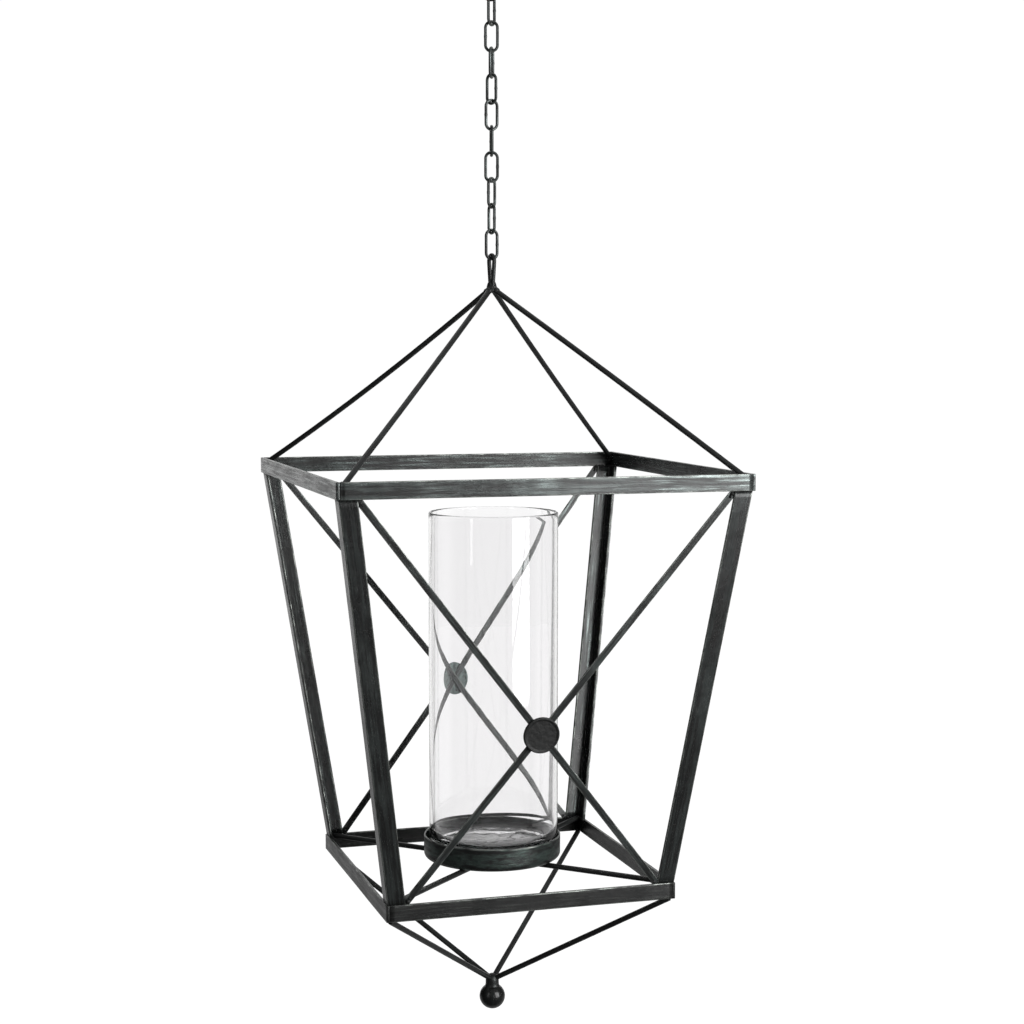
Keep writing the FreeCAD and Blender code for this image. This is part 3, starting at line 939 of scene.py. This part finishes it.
class LANTERN_OT_loop(PieceOperator, bpy.types.Operator):
    """Makes the hanging loop"""

    bl_idname = "lantern.loop"
    bl_label = "Hanging Loop"

    def execute(self, context):
        wire = sizes().loop_wire
        crown_radius, foot = 6 * MM, 2.6 * MM
        yaw = swing_yaws()["lantern"]
        crown_z = LOOP_TOP_Z - wire / 2 - crown_radius
        reach = math.hypot(foot, crown_z - KNUCKLE_Z)
        touch = math.acos(crown_radius / reach) - math.atan2(crown_z - KNUCKLE_Z, foot)
        steps = 24
        path = [in_plane(yaw, foot, KNUCKLE_Z)]
        for k in range(steps + 1):
            a = touch + (math.pi - 2 * touch) * k / steps
            path.append(in_plane(yaw, crown_radius * math.cos(a), crown_z + crown_radius * math.sin(a)))
        path.append(in_plane(yaw, -foot, KNUCKLE_Z))
        finish = iron("rod_iron", rub_and_painted_light=0.35, streak=0.03, gloss=0.38, scorch=0.7, dimple=0.004, skin=0.010)
        mesh = grown("rod", line_mesh(path), Radius=wire / 2, Spacing=0.0008, Facets=24, Unevenness=0.00014,
                     Heat_Reach=0.022, Finish=finish)
        piece("hanging_loop_rod", mesh, "lantern", finish, ["hanging_loop"])
        return {"FINISHED"}


class LANTERN_OT_rods(PieceOperator, bpy.types.Operator):
    """Makes the roof, floor and lower rods"""

    bl_idname = "lantern.rods"
    bl_label = "Rods"

    BOW = {"front_left": 1.2 * MM, "front_right": -0.8 * MM, "back_left": 4.0 * MM, "back_right": 1.8 * MM}

    def execute(self, context):
        floor_z = DISH_UNDER_Z - sizes().rod / 2
        for number, (corner, signs) in enumerate(CORNERS.items()):
            top, point = Vector((0, 0, KNUCKLE_Z)), Vector((0, 0, POINT_Z))
            end = corner_point(signs, TOP_HALF - ROOF_FOOT_INSET, TOP_Z - ROOF_FOOT_DEPTH)
            self.rod("roof_rod_" + corner, top, end, self.BOW[corner], number)
            start = corner_point(signs, FLOOR_ROD_INNER / math.sqrt(2), floor_z)
            end = corner_point(signs, BASE_HALF - FLOOR_FOOT_INSET, floor_z)
            self.rod("floor_rod_" + corner, start, end, 0.0, number + 4)
            end = corner_point(signs, BASE_HALF - LOWER_FOOT_INSET, BASE_UNDER_Z - LOWER_FOOT_GAP)
            self.rod("lower_rod_" + corner, point, end, 0.0, number + 8)
        return {"FINISHED"}

    def rod(self, node, start, end, bow, number):
        """One rod; bow is how far its middle dips towards the axis."""
        finish = iron("rod_iron")
        along = (end - start).normalized()
        dip = (-UP + along * along.z).normalized()
        steps = 24
        path = []
        for k in range(steps + 1):
            s = k / steps
            path.append(start.lerp(end, s) + dip * (bow * 4 * s * (1 - s)))
        mesh = grown("rod", line_mesh(path), Radius=sizes().rod / 2, Spacing=0.0025, Facets=18,
                     Unevenness=0.00022, Heat_Reach=0.035, Shift=number * 0.61, Finish=finish)
        piece(node.replace("rod", "stay"), mesh, "lantern", finish, [node])


class LANTERN_OT_rails(PieceOperator, bpy.types.Operator):
    """Makes the flat bars of both rings"""

    bl_idname = "lantern.rails"
    bl_label = "Ring Rails"

    def execute(self, context):
        skin = {"streak": 0.05, "dimple": 0.009, "skin": 0.012}
        finishes = {
            "top": iron("rail_iron", rub_and_painted_light=0.85, gloss=0.27, scorch=0.58, **skin),
            # painted shade: the bottom ring gets a darker, warmer copy of the rail finish, with fewer rubbed
            # streaks, for the shade the light leaves on it
            "bottom": iron("base_rail_iron", rub_and_painted_light=0.42, gloss=0.30, scorch=0.66, tint=(1.0, 0.92, 0.90),
                           **skin),
        }
        number = 0
        for ring, ring_finish in finishes.items():
            for side in ("front", "back", "left", "right"):
                finish = ring_finish
                number += 1
                node = ring + "_rail_" + side
                mesh = self.bar(node, number * 0.83)
                # painted shade: the top back bar gets a darker copy of the rail finish, with fewer rubbed
                # streaks
                if node == "top_rail_back":
                    finish = iron("back_rail_iron", rub_and_painted_light=0.6, gloss=0.27, scorch=0.5, **skin)
                piece(node.replace("rail", "bar"), mesh, "lantern", finish, [node])
        return {"FINISHED"}

    def bar(self, node, seed):
        """One bar along the longest side of its box, its section crosswise."""
        a, b = low(node), high(node)
        middle = (a + b) / 2
        lengthwise = node.endswith(("front", "back"))
        run = Vector((1, 0, 0)) if lengthwise else Vector((0, 1, 0))
        across = Vector((0, 1, 0)) if lengthwise else Vector((-1, 0, 0))
        reach = (b.x - a.x) / 2 if lengthwise else (b.y - a.y) / 2
        thick, tall = BAR_THICK / 2, (b.z - a.z) / 2
        edge = sizes().bar_edge
        outline = rounded_outline([(-thick, -tall, edge), (thick, -tall, edge), (thick, tall, edge),
                                   (-thick, tall, edge)], 1.5 * MM)
        inset = 0.0 if lengthwise else 0.5 * MM
        rings = straight_rings(middle - run * reach, middle + run * reach, across, UP, 5 * MM, inset=inset,
                               wave=sizes().waviness, seed=seed)
        return swept_mesh(node, outline, rings, seed)


class LANTERN_OT_posts(PieceOperator, bpy.types.Operator):
    """Makes the four leaning angle posts"""

    bl_idname = "lantern.posts"
    bl_label = "Corner Posts"

    def execute(self, context):
        finish = iron("post_iron", rub_and_painted_light=0.5, streak=0.06, gloss=0.25, scorch=0.60, dimple=0.010, skin=0.012)
        flange, thick = sizes().post_flange, BAR_THICK
        edge, root = sizes().bar_edge, sizes().post_root
        outline = rounded_outline([(0, 0, edge), (flange, 0, edge), (flange, thick, edge * 1.6),
                                   (thick, thick, root), (thick, flange, edge * 1.6), (0, flange, edge)],
                                  1.5 * MM)
        for number, (corner, (sx, sy)) in enumerate(CORNERS.items()):
            start = corner_point((sx, sy), POST_FOOT, BASE_Z)
            end = corner_point((sx, sy), POST_TOP, TOP_UNDER_Z)
            rings = straight_rings(start, end, Vector((-sx, 0, 0)), Vector((0, -sy, 0)), 6 * MM,
                                   wave=sizes().waviness, seed=3.7 + number)
            mesh = swept_mesh(corner, outline, rings, number * 0.47)
            piece("post_" + corner, mesh, "lantern", finish, ["corner_post_" + corner])
        return {"FINISHED"}


def face_point(x, z):
    """A point of the sloping front plane, in which the posts' outer faces and the braces lie."""
    return Vector((x, -(POST_TOP - POST_LEAN * (TOP_UNDER_Z - z)), z))


def front_gap():
    """The half widths of the front gap at its top and bottom, and the height at which its diagonals cross."""
    flange = sizes().post_flange
    top = POST_TOP - flange
    bottom = POST_FOOT - flange
    return top, bottom, BASE_Z + (TOP_UNDER_Z - BASE_Z) * bottom / (top + bottom)


class LANTERN_OT_braces(PieceOperator, bpy.types.Operator):
    """Makes the crossed straps of the front and the back"""

    bl_idname = "lantern.braces"
    bl_label = "Cross Braces"

    def execute(self, context):
        finish = iron("strap_iron", rub_and_painted_light=0.65, streak=0.04, gloss=0.30, scorch=0.40, dimple=0.006, skin=0.012)
        top, bottom, crossing = front_gap()
        thick, width = sizes().strap_thick, sizes().strap_width
        edge = 0.35 * MM
        outline = rounded_outline([(-width / 2, 0, edge), (width / 2, 0, edge), (width / 2, thick, edge),
                                   (-width / 2, thick, edge)], 1.2 * MM)
        for layer, side in ((0, -1), (1, 1)):
            start, end = face_point(side * top, TOP_UNDER_Z), face_point(-side * bottom, BASE_Z)
            run = (end - start).normalized()
            slope = (face_point(0, TOP_UNDER_Z) - face_point(0, BASE_Z)).normalized()
            inward = slope.cross(Vector((1, 0, 0))).normalized()
            across = run.cross(inward).normalized()
            inward = inward if inward.y > 0 else -inward
            offset = Vector((0, thick * layer, 0))
            mark = (start - face_point(0, crossing)).length / (end - start).length
            for face, turn in (("front", 0.0), ("back", math.pi)):
                first, last = start + offset - run * width, end + offset + run * width
                rings = straight_rings(first, last, across, inward, 4 * MM, wave=sizes().waviness * 0.5,
                                       seed=layer + turn, heat_marks=(0.02, mark, 0.98))
                mesh = swept_mesh("strap", outline, rings, layer * 0.9 + turn)
                side_run = Vector((top - bottom, 0, TOP_UNDER_Z - BASE_Z)).normalized()
                planes = [(Vector((0, 0, TOP_UNDER_Z)), UP), (Vector((0, 0, BASE_Z)), -UP),
                          (Vector((top, 0, TOP_UNDER_Z)), Vector((side_run.z, 0, -side_run.x))),
                          (Vector((-top, 0, TOP_UNDER_Z)), Vector((-side_run.z, 0, -side_run.x)))]
                cut_away(mesh, planes)
                mesh.transform(Matrix.Rotation(turn, 4, "Z"))
                name = "_from_left" if side < 0 else "_from_right"
                piece(face + "_strap" + name, mesh, "lantern", finish, [face + "_brace" + name])
        return {"FINISHED"}


class LANTERN_OT_discs(PieceOperator, bpy.types.Operator):
    """Makes the round plates over the crossings"""

    bl_idname = "lantern.discs"
    bl_label = "Crossing Plates"

    def execute(self, context):
        finish = iron("disc_iron", rub_and_painted_light=0.26, fineness=700.0, streak=0.006, gloss=0.46, scorch=0.25, wear=0.1,
                      dimple=0.0045, skin=0.035, tint=(1.0, 0.86, 0.86))
        top, bottom, crossing = front_gap()
        radius, plate, rim = sizes().disc_radius, 2.2 * MM, 0.7 * MM
        lip, under_edge, hollow, hollow_in = 1.1 * MM, 0.5 * MM, 0.9 * MM, 3.4 * MM
        outline = [(0, 0, 0)] + ramp((0, 0), (radius - 0.4 * MM, 0), 10)
        outline += round_part(radius - under_edge, under_edge, under_edge, -90, 0, 3, 0.6)
        outline += round_part(radius - lip, plate + rim - lip, lip, 0, 150, 10, 0.8)
        outline += round_part(radius - hollow_in, plate + hollow, hollow, -60, -90, 4)
        outline += ramp((radius - hollow_in, plate), (0, plate), 14) + [(0, plate, 0)]
        slope = face_point(0, TOP_UNDER_Z) - face_point(0, BASE_Z)
        outward = Vector((1, 0, 0)).cross(slope).normalized()
        # painted light: the back plate gets a lighter, bluer copy of the plate finish, with more rubbed streaks
        # and worn edges, for the lit look it has from inside
        painted_lit_back_finish = iron("back_disc_iron", rub_and_painted_light=1.4, fineness=420.0, streak=0.008, gloss=0.36, scorch=0.2,
                           dimple=0.0045, skin=0.03, tint=(0.92, 1.06, 1.03))
        for face, turn, finish in (("front", 0.0, finish), ("back", math.pi, painted_lit_back_finish)):
            mesh = lathed_mesh("plate", outline, 96, spun=False, uneven=0.10 * MM, shift=turn)
            placed = outward.to_track_quat("Z", "Y").to_matrix().to_4x4()
            mesh.transform(Matrix.Translation(face_point(0, crossing)) @ placed)
            mesh.transform(Matrix.Rotation(turn, 4, "Z"))
            piece(face + "_plate", mesh, "lantern", finish, [face + "_disc"])
        return {"FINISHED"}


class LANTERN_OT_dish(PieceOperator, bpy.types.Operator):
    """Makes the dish that the glass stands in"""

    bl_idname = "lantern.dish"
    bl_label = "Dish"

    def execute(self, context):
        finish = iron("dish_iron", rub_and_painted_light=0.7, fineness=260.0, streak=0.014, gloss=0.34, scorch=0.30,
                      dimple=0.012, skin=0.03, tint=(0.85, 1.0, 0.93))
        under, top, radius = DISH_UNDER_Z, DISH_TOP_Z, DISH_RADIUS
        wall, floor, corner = 1.8 * MM, 2 * MM, 5 * MM
        outline = [(0, under, 0)] + ramp((0, under), (radius - corner, under), 20)
        outline += round_part(radius - corner, under + corner, corner, -90, 0, 10)
        outline += ramp((radius, under + corner), (radius, top - wall / 2), 10)
        outline += round_part(radius - wall / 2, top - wall / 2, wall / 2, 0, 180, 10, 1.0)
        outline += ramp((radius - wall, top - wall / 2), (radius - wall, under + corner), 8)
        outline += round_part(radius - corner, under + corner, corner - wall, 0, -90, 8)
        outline += ramp((radius - corner, under + floor), (0, under + floor), 16) + [(0, under + floor, 0)]
        mesh = lathed_mesh("pan", outline, 160, uneven=0.18 * MM,
                           heat=lambda r, z: warmth(abs(r - 0.5 * radius), 0.03) if z < under + MM else 0.0)
        piece("dish", mesh, "lantern", finish, ["candle_dish"])
        return {"FINISHED"}


class LANTERN_OT_glass(PieceOperator, bpy.types.Operator):
    """Makes the glass cylinder"""

    bl_idname = "lantern.glass"
    bl_label = "Glass Cylinder"

    def execute(self, context):
        under, top = GLASS_LOW.z, GLASS_HIGH.z
        radius = (GLASS_HIGH.x - GLASS_LOW.x) / 2
        wall, foot = sizes().glass_wall, sizes().glass_foot
        corner, well, punt = 4 * MM, 15 * MM, 1.2 * MM
        seat = radius - 9 * MM
        outline = [(0, under + punt, 0)]
        for k in range(1, 15):
            r = seat * k / 14
            outline.append((r, under + punt * (1 - (r / seat) ** 2) ** 2, 0))
        outline += round_part(radius - corner, under + corner, corner, -90, 0, 12)
        outline += ramp((radius, under + corner), (radius, top - wall / 2), 60)
        outline += round_part(radius - wall / 2, top - wall / 2, wall / 2, 0, 180, 12, 1.0)
        inner = radius - wall
        outline += ramp((inner, top - wall / 2), (inner, under + foot + well), 60)
        outline += round_part(inner - well, under + foot + well, well, 0, -90, 14)
        outline += ramp((inner - well, under + foot), (0, under + foot), 14) + [(0, under + foot, 0)]
        mesh = lathed_mesh("vase", outline, 192, heat=lambda r, z: warmth(abs(z - under - foot * 0.6), foot))
        for vertex in mesh.vertices:
            place = vertex.co
            level = place.z - under - foot
            reach = math.hypot(place.x, place.y) / inner
            if -1.5 * MM < level < well and reach < 0.92:
                lump = noise.noise(Vector((place.x * 85, place.y * 85, 2.5))) * min(1.0, (0.92 - reach) * 5)
                place.z += 0.7 * MM * lump
            elif level < 4 * MM - foot and reach < 0.85:
                place.z += 0.5 * MM * abs(noise.noise(Vector((place.x * 60, place.y * 60, 7.5))))
        mesh.transform(Matrix.Translation(((GLASS_LOW.x + GLASS_HIGH.x) / 2, 0, 0)))
        piece("glass_vase", mesh, "glass", clear_glass(), ["glass_cylinder"])
        return {"FINISHED"}


class LANTERN_OT_finial(PieceOperator, bpy.types.Operator):
    """Makes the ball and the neck above it"""

    bl_idname = "lantern.finial"
    bl_label = "Ball and Neck"

    def execute(self, context):
        finish = iron("ball_iron", rub_and_painted_light=0.2, fineness=300.0, streak=0.01, gloss=0.20, scorch=0.2, dimple=0.007,
                      skin=0.012)
        centre = BALL_LOW_Z + BALL_RADIUS
        outline = [(0, centre - BALL_RADIUS, 0)] + round_part(0, centre, BALL_RADIUS, -87, 87, 48)
        outline += [(0, centre + BALL_RADIUS, 0)]
        ball = lathed_mesh("ball", outline, 72, spun=False, uneven=0.05 * MM)
        piece("ball", ball, "lantern", finish, ["ball_finial"])
        join = centre + BALL_RADIUS * 0.80
        neck = [(0, join - 2 * MM, 0), (NECK_RADIUS + 1.2 * MM, join - 2 * MM, 0)]
        neck += [(NECK_RADIUS + 0.9 * MM, join - 0.6 * MM, 0), (NECK_RADIUS + 0.2 * MM, join + 0.8 * MM, 0)]
        neck += ramp((NECK_RADIUS, join + 1.4 * MM), (NECK_RADIUS, POINT_Z), 4)
        neck += round_part(0, POINT_Z, NECK_RADIUS, 0, 87, 12) + [(0, POINT_Z + NECK_RADIUS, 0)]
        rod_finish = iron("rod_iron")
        mesh = lathed_mesh("neck", neck, 64, spun=False, uneven=0.35 * MM, heat=lambda r, z: 1.0)
        piece("neck", mesh, "lantern", rod_finish, ["finial_neck"])
        return {"FINISHED"}


class LANTERN_OT_welds(PieceOperator, bpy.types.Operator):
    """Makes the knuckle under the loop and the beads of weld at every joint of the frame"""

    bl_idname = "lantern.welds"
    bl_label = "Knuckle and Welds"

    def execute(self, context):
        finish = iron("weld_iron", rub_and_painted_light=0.25, fineness=500.0, streak=0.004, gloss=0.48, scorch=0.45,
                      dimple=0.002, skin=0.03)
        self.merged("knuckle", self.knuckle_places(), finish, ["apex_knuckle"])
        bead = sizes().bead
        top_beads, base_beads, strap_beads, dish_beads = [], [], [], []
        top, bottom, crossing = front_gap()
        for sx, sy in CORNERS.values():
            foot = TOP_HALF - 6.0 * MM
            top_beads += [(corner_point((sx, sy), foot, TOP_Z - dz * MM), bead * size)
                          for dz, size in ((2.5, 1.15), (5.5, 1.3), (9.0, 1.0))]
            top_beads += self.heel_places(sx, sy, TOP_HALF - BAR_THICK - 1.2 * MM, TOP_UNDER_Z + 0.2 * MM)
            base_beads += self.heel_places(sx, sy, BASE_HALF - BAR_THICK - 0.8 * MM, BASE_Z - 0.2 * MM)
            foot = BASE_HALF - 5.5 * MM
            base_beads += [(corner_point((sx, sy), foot, BASE_Z - dz * MM), bead * size)
                           for dz, size in ((1.5, 1.1), (14.5, 1.1), (16.2, 0.9))]
            inner = 0.75 * DISH_RADIUS / math.sqrt(2)
            for side in (-1, 1):
                off = 2.6 * MM * side / math.sqrt(2)
                aside = off * sx * sy
                place = (sx * (inner + aside), sy * (inner - aside), DISH_UNDER_Z - 0.4 * MM)
                dish_beads.append((Vector(place), bead * 0.8))
        for turn in (1, -1):
            for side in (-1, 1):
                for x, z, reach in ((top, TOP_UNDER_Z, -1), (bottom, BASE_Z, 1)):
                    near = face_point(side * (x - 2.4 * MM), z + reach * 2.4 * MM)
                    for shift, size in ((0, 1.0), (2.6, 0.7)):
                        p = near + Vector((-side * shift * MM * 0.6, 1.4 * MM, reach * shift * MM))
                        strap_beads.append((Vector((p.x * turn, p.y * turn, p.z)), bead * 0.85 * size))
        seed = context.scene.lantern_studio.seed
        for name, places in (("top_welds", top_beads), ("base_welds", base_beads),
                             ("strap_welds", strap_beads), ("dish_welds", dish_beads)):
            mesh = grown("beads", bead_mesh(places), Lumps=0.35, Seed=seed, Finish=finish)
            piece(name, mesh, "lantern", finish)
        return {"FINISHED"}

    def heel_places(self, sx, sy, heel, z):
        """Small beads in a row along both flanges of a post, from its heel inwards."""
        places = []
        for k in range(5):
            step = (2 + 3.4 * k) * MM
            for x, y in ((heel - step, heel), (heel, heel - step)):
                places.append((Vector((sx * x, sy * y, z)), sizes().bead * 0.55))
        return places

    def knuckle_places(self):
        """Beads that run together where the loop meets the roof rods."""
        places = [(Vector((0, 0, KNUCKLE_Z + dz * MM)), KNUCKLE_RADIUS * size)
                  for dz, size in ((0, 0.84), (-1.6, 0.76), (2.4, 0.74), (5.0, 0.6))]
        middle = Vector((0, 0, KNUCKLE_Z))
        for signs in CORNERS.values():
            run = (corner_point(signs, TOP_HALF - ROOF_FOOT_INSET, TOP_Z) - middle).normalized()
            places += [(middle + run * step * MM, size * MM) for step, size in ((4, 3.3), (6.5, 2.9))]
        return places

    def merged(self, name, places, finish, replaced):
        """Beads run together into one closed skin."""
        mesh = grown("beads", bead_mesh(places), Lumps=0.3, Seed=3, Finish=finish)
        holder = linked("holder", mesh)
        remesh = holder.modifiers.new("merge", "REMESH")
        remesh.mode = "VOXEL"
        remesh.voxel_size = 0.45 * MM
        smooth = holder.modifiers.new("smooth", "SMOOTH")
        smooth.iterations = 4
        skin = evaluated_mesh(holder)
        give(skin, "grain", "FLOAT_VECTOR", [v.co[:] for v in skin.vertices])
        give(skin, "heat", "FLOAT", [1.0] * len(skin.vertices))
        piece(name, skin, "lantern", finish, replaced)


# ---------------------------------------------------------------- floor, light and camera

def camera_parts(tree, vector, turn):
    """How far a vector points ahead of the camera, to its right, and up."""
    x, y, z = taken_apart(tree, vector)
    c, s = math.cos(turn), math.sin(turn)
    ahead = sums(tree, "ADD", sums(tree, "MULTIPLY", x, -s), sums(tree, "MULTIPLY", y, c))
    aside = sums(tree, "ADD", sums(tree, "MULTIPLY", x, c), sums(tree, "MULTIPLY", y, s))
    return ahead, aside, z


def spread_degrees(tree, angle, from_low, from_high, to_low=0.0, to_high=1.0):
    """A smooth step between two angles given in degrees."""
    return spread(tree, angle, math.radians(from_low), math.radians(from_high), to_low, to_high)


def reflected_share(tree, seen, towards):
    """How much a ray that has been reflected counts, by where it goes."""
    return sums(tree, "MULTIPLY", sums(tree, "MINIMUM", seen.outputs["Glossy Depth"], 1.0), towards)


class LANTERN_OT_studio(PieceOperator, bpy.types.Operator):
    """Makes the pale floor, the soft lights and the camera"""

    bl_idname = "lantern.studio"
    bl_label = "Studio"

    def execute(self, context):
        studio = context.scene.lantern_studio
        context.scene.view_settings.view_transform = "Standard"
        self.floor(studio)
        self.surroundings(studio)
        for name, turn, lift, distance, wide, tall, power in (
                ("softbox_right", 51, 11, 2.4, 1.50, 1.94, 1.0),
                ("strip_left", -36, 14, 2.6, 0.36, 1.7, 0.07)):
            self.strip(name, studio, turn, lift, distance, wide, tall, studio.light_power * power)
        camera = bpy.data.cameras.new("camera")
        camera.lens = studio.lens
        camera.sensor_width = 36
        camera.clip_end = 100
        holder = linked("camera", camera)
        holder.location = CAMERA_PLACE
        holder.rotation_euler = (studio.camera_tilt, 0, studio.camera_turn)
        context.scene.camera = holder
        return {"FINISHED"}

    def floor(self, studio):
        """A round pale floor well below the ball."""
        work = bmesh.new()
        bmesh.ops.create_circle(work, cap_ends=True, radius=studio.floor_radius, segments=96)
        mesh = bpy.data.meshes.new("floor")
        work.to_mesh(mesh)
        work.free()
        mesh.transform(Matrix.Translation((0, 0, BALL_LOW_Z - studio.floor_drop)))
        made, tree, shader = new_material("pale_floor")
        for label, value in (("Base Color", (0.2, 0.2, 0.2, 1)), ("Roughness", 0.9),
                             ("Emission Color", (1, 1, 1, 1))):
            shader.inputs[label].default_value = value
        place = tree.nodes.new("ShaderNodeTexCoord").outputs["Object"]
        ahead = camera_parts(tree, place, studio.camera_turn)[0]
        seen = tree.nodes.new("ShaderNodeLightPath")
        inside = reflected_share(tree, seen, spread(tree, ahead, -0.6, 0.2, 1.0, 0.0))
        plug(tree, shader, "Emission Strength", sums(tree, "MULTIPLY_ADD", inside, -0.56, 0.93))
        mesh.materials.append(made)
        floor = linked("floor", mesh)
        floor.visible_glossy = False
        floor.visible_diffuse = False

    def surroundings(self, studio):
        """White to look at; what lights the iron is a white card behind, dark sides and a soft top."""
        world = bpy.data.worlds.new("studio")
        world.use_nodes = True
        bpy.context.scene.world = world
        tree = world.node_tree
        tree.nodes.clear()
        direction = tree.nodes.new("ShaderNodeTexCoord").outputs["Generated"]
        ahead, aside, up = camera_parts(tree, direction, studio.camera_turn)
        bearing = sums(tree, "ABSOLUTE", sums(tree, "ARCTAN2", aside, ahead))
        height = sums(tree, "ARCSINE", up)
        card = sums(tree, "MULTIPLY", spread_degrees(tree, bearing, 31, 39, 1.0, 0.0),
                    spread_degrees(tree, height, -22, -6))
        front = sums(tree, "MULTIPLY", spread_degrees(tree, bearing, 95, 125),
                     spread_degrees(tree, height, -4, 16))
        overhead = spread_degrees(tree, height, 40, 70)
        ground = sums(tree, "MULTIPLY", spread_degrees(tree, bearing, 60, 95, 1.0, 0.0),
                      spread_degrees(tree, height, -14, -6, 0.40, 0.0))
        behind = sums(tree, "MAXIMUM", sums(tree, "MULTIPLY", card, 0.95), ground)
        level = sums(tree, "ADD", behind, 0.035)
        level = sums(tree, "MULTIPLY_ADD", front, 0.12, level)
        level = sums(tree, "MULTIPLY_ADD", overhead, 0.45, level)
        seen = tree.nodes.new("ShaderNodeLightPath")
        inside = reflected_share(tree, seen, spread_degrees(tree, bearing, 80, 110))
        dimmed = sums(tree, "MULTIPLY_ADD", inside, -0.6, 1.0)
        through = sums(tree, "MULTIPLY", seen.outputs["Is Transmission Ray"], dimmed)
        straight = sums(tree, "MAXIMUM", seen.outputs["Is Camera Ray"], through)
        strength = sums(tree, "MAXIMUM", level, sums(tree, "MULTIPLY", straight, 1.02))
        back = add(tree, "ShaderNodeBackground", Color=(1.0, 1.0, 1.0), Strength=strength)
        out = tree.nodes.new("ShaderNodeOutputWorld")
        tree.links.new(back.outputs[0], out.inputs["Surface"])

    def strip(self, name, studio, turn, lift, distance, wide, tall, power):
        """A tall soft light, turned to the camera's right and lifted above the lantern's middle, in degrees."""
        light = bpy.data.lights.new(name, "AREA")
        light.shape = "RECTANGLE"
        light.size = wide
        light.size_y = tall
        light.energy = power
        made = linked(name, light)
        centre = Vector((0, 0, (TOP_Z + BASE_Z) / 2))
        angle = studio.camera_turn + math.pi + math.radians(turn)
        rise = math.radians(lift)
        way = Vector((-math.sin(angle) * math.cos(rise), math.cos(angle) * math.cos(rise), math.sin(rise)))
        made.location = centre + way * distance
        made.rotation_euler = way.to_track_quat("Z", "Y").to_euler()
        made.visible_camera = False
        made.visible_transmission = False


OPERATORS = (LANTERN_OT_hook, LANTERN_OT_chain, LANTERN_OT_loop, LANTERN_OT_rods, LANTERN_OT_rails,
             LANTERN_OT_posts, LANTERN_OT_braces, LANTERN_OT_discs, LANTERN_OT_dish, LANTERN_OT_glass,
             LANTERN_OT_finial, LANTERN_OT_welds, LANTERN_OT_studio)


class LANTERN_PT_panel(bpy.types.Panel):
    """Lists the lantern's sizes, finishes and build steps"""

    bl_idname = "LANTERN_PT_panel"
    bl_label = "Hanging Lantern"
    bl_space_type = "VIEW_3D"
    bl_region_type = "UI"
    bl_category = "Lantern"

    def draw(self, context):
        for group in GROUPS:
            box = self.layout.box()
            for field in getattr(context.scene, group).bl_rna.properties:
                if field.identifier not in ("rna_type", "name"):
                    box.prop(getattr(context.scene, group), field.identifier)
        for operator in OPERATORS:
            self.layout.operator(operator.bl_idname)


CLASSES = (*GROUPS.values(), *OPERATORS, LANTERN_PT_panel)


def register():
    """Registers the classes and hangs the property groups on the scene."""
    for made in CLASSES:
        bpy.utils.register_class(made)
    for name, group in GROUPS.items():
        setattr(bpy.types.Scene, name, PointerProperty(type=group))


def unregister():
    """Takes everything back off."""
    for name in GROUPS:
        delattr(bpy.types.Scene, name)
    for made in reversed(CLASSES):
        bpy.utils.unregister_class(made)


def main():
    """Builds the lantern and its studio."""
    register()
    for operator in OPERATORS:
        getattr(bpy.ops.lantern, operator.bl_idname.split(".")[1])()


if __name__ == "__main__":
    main()
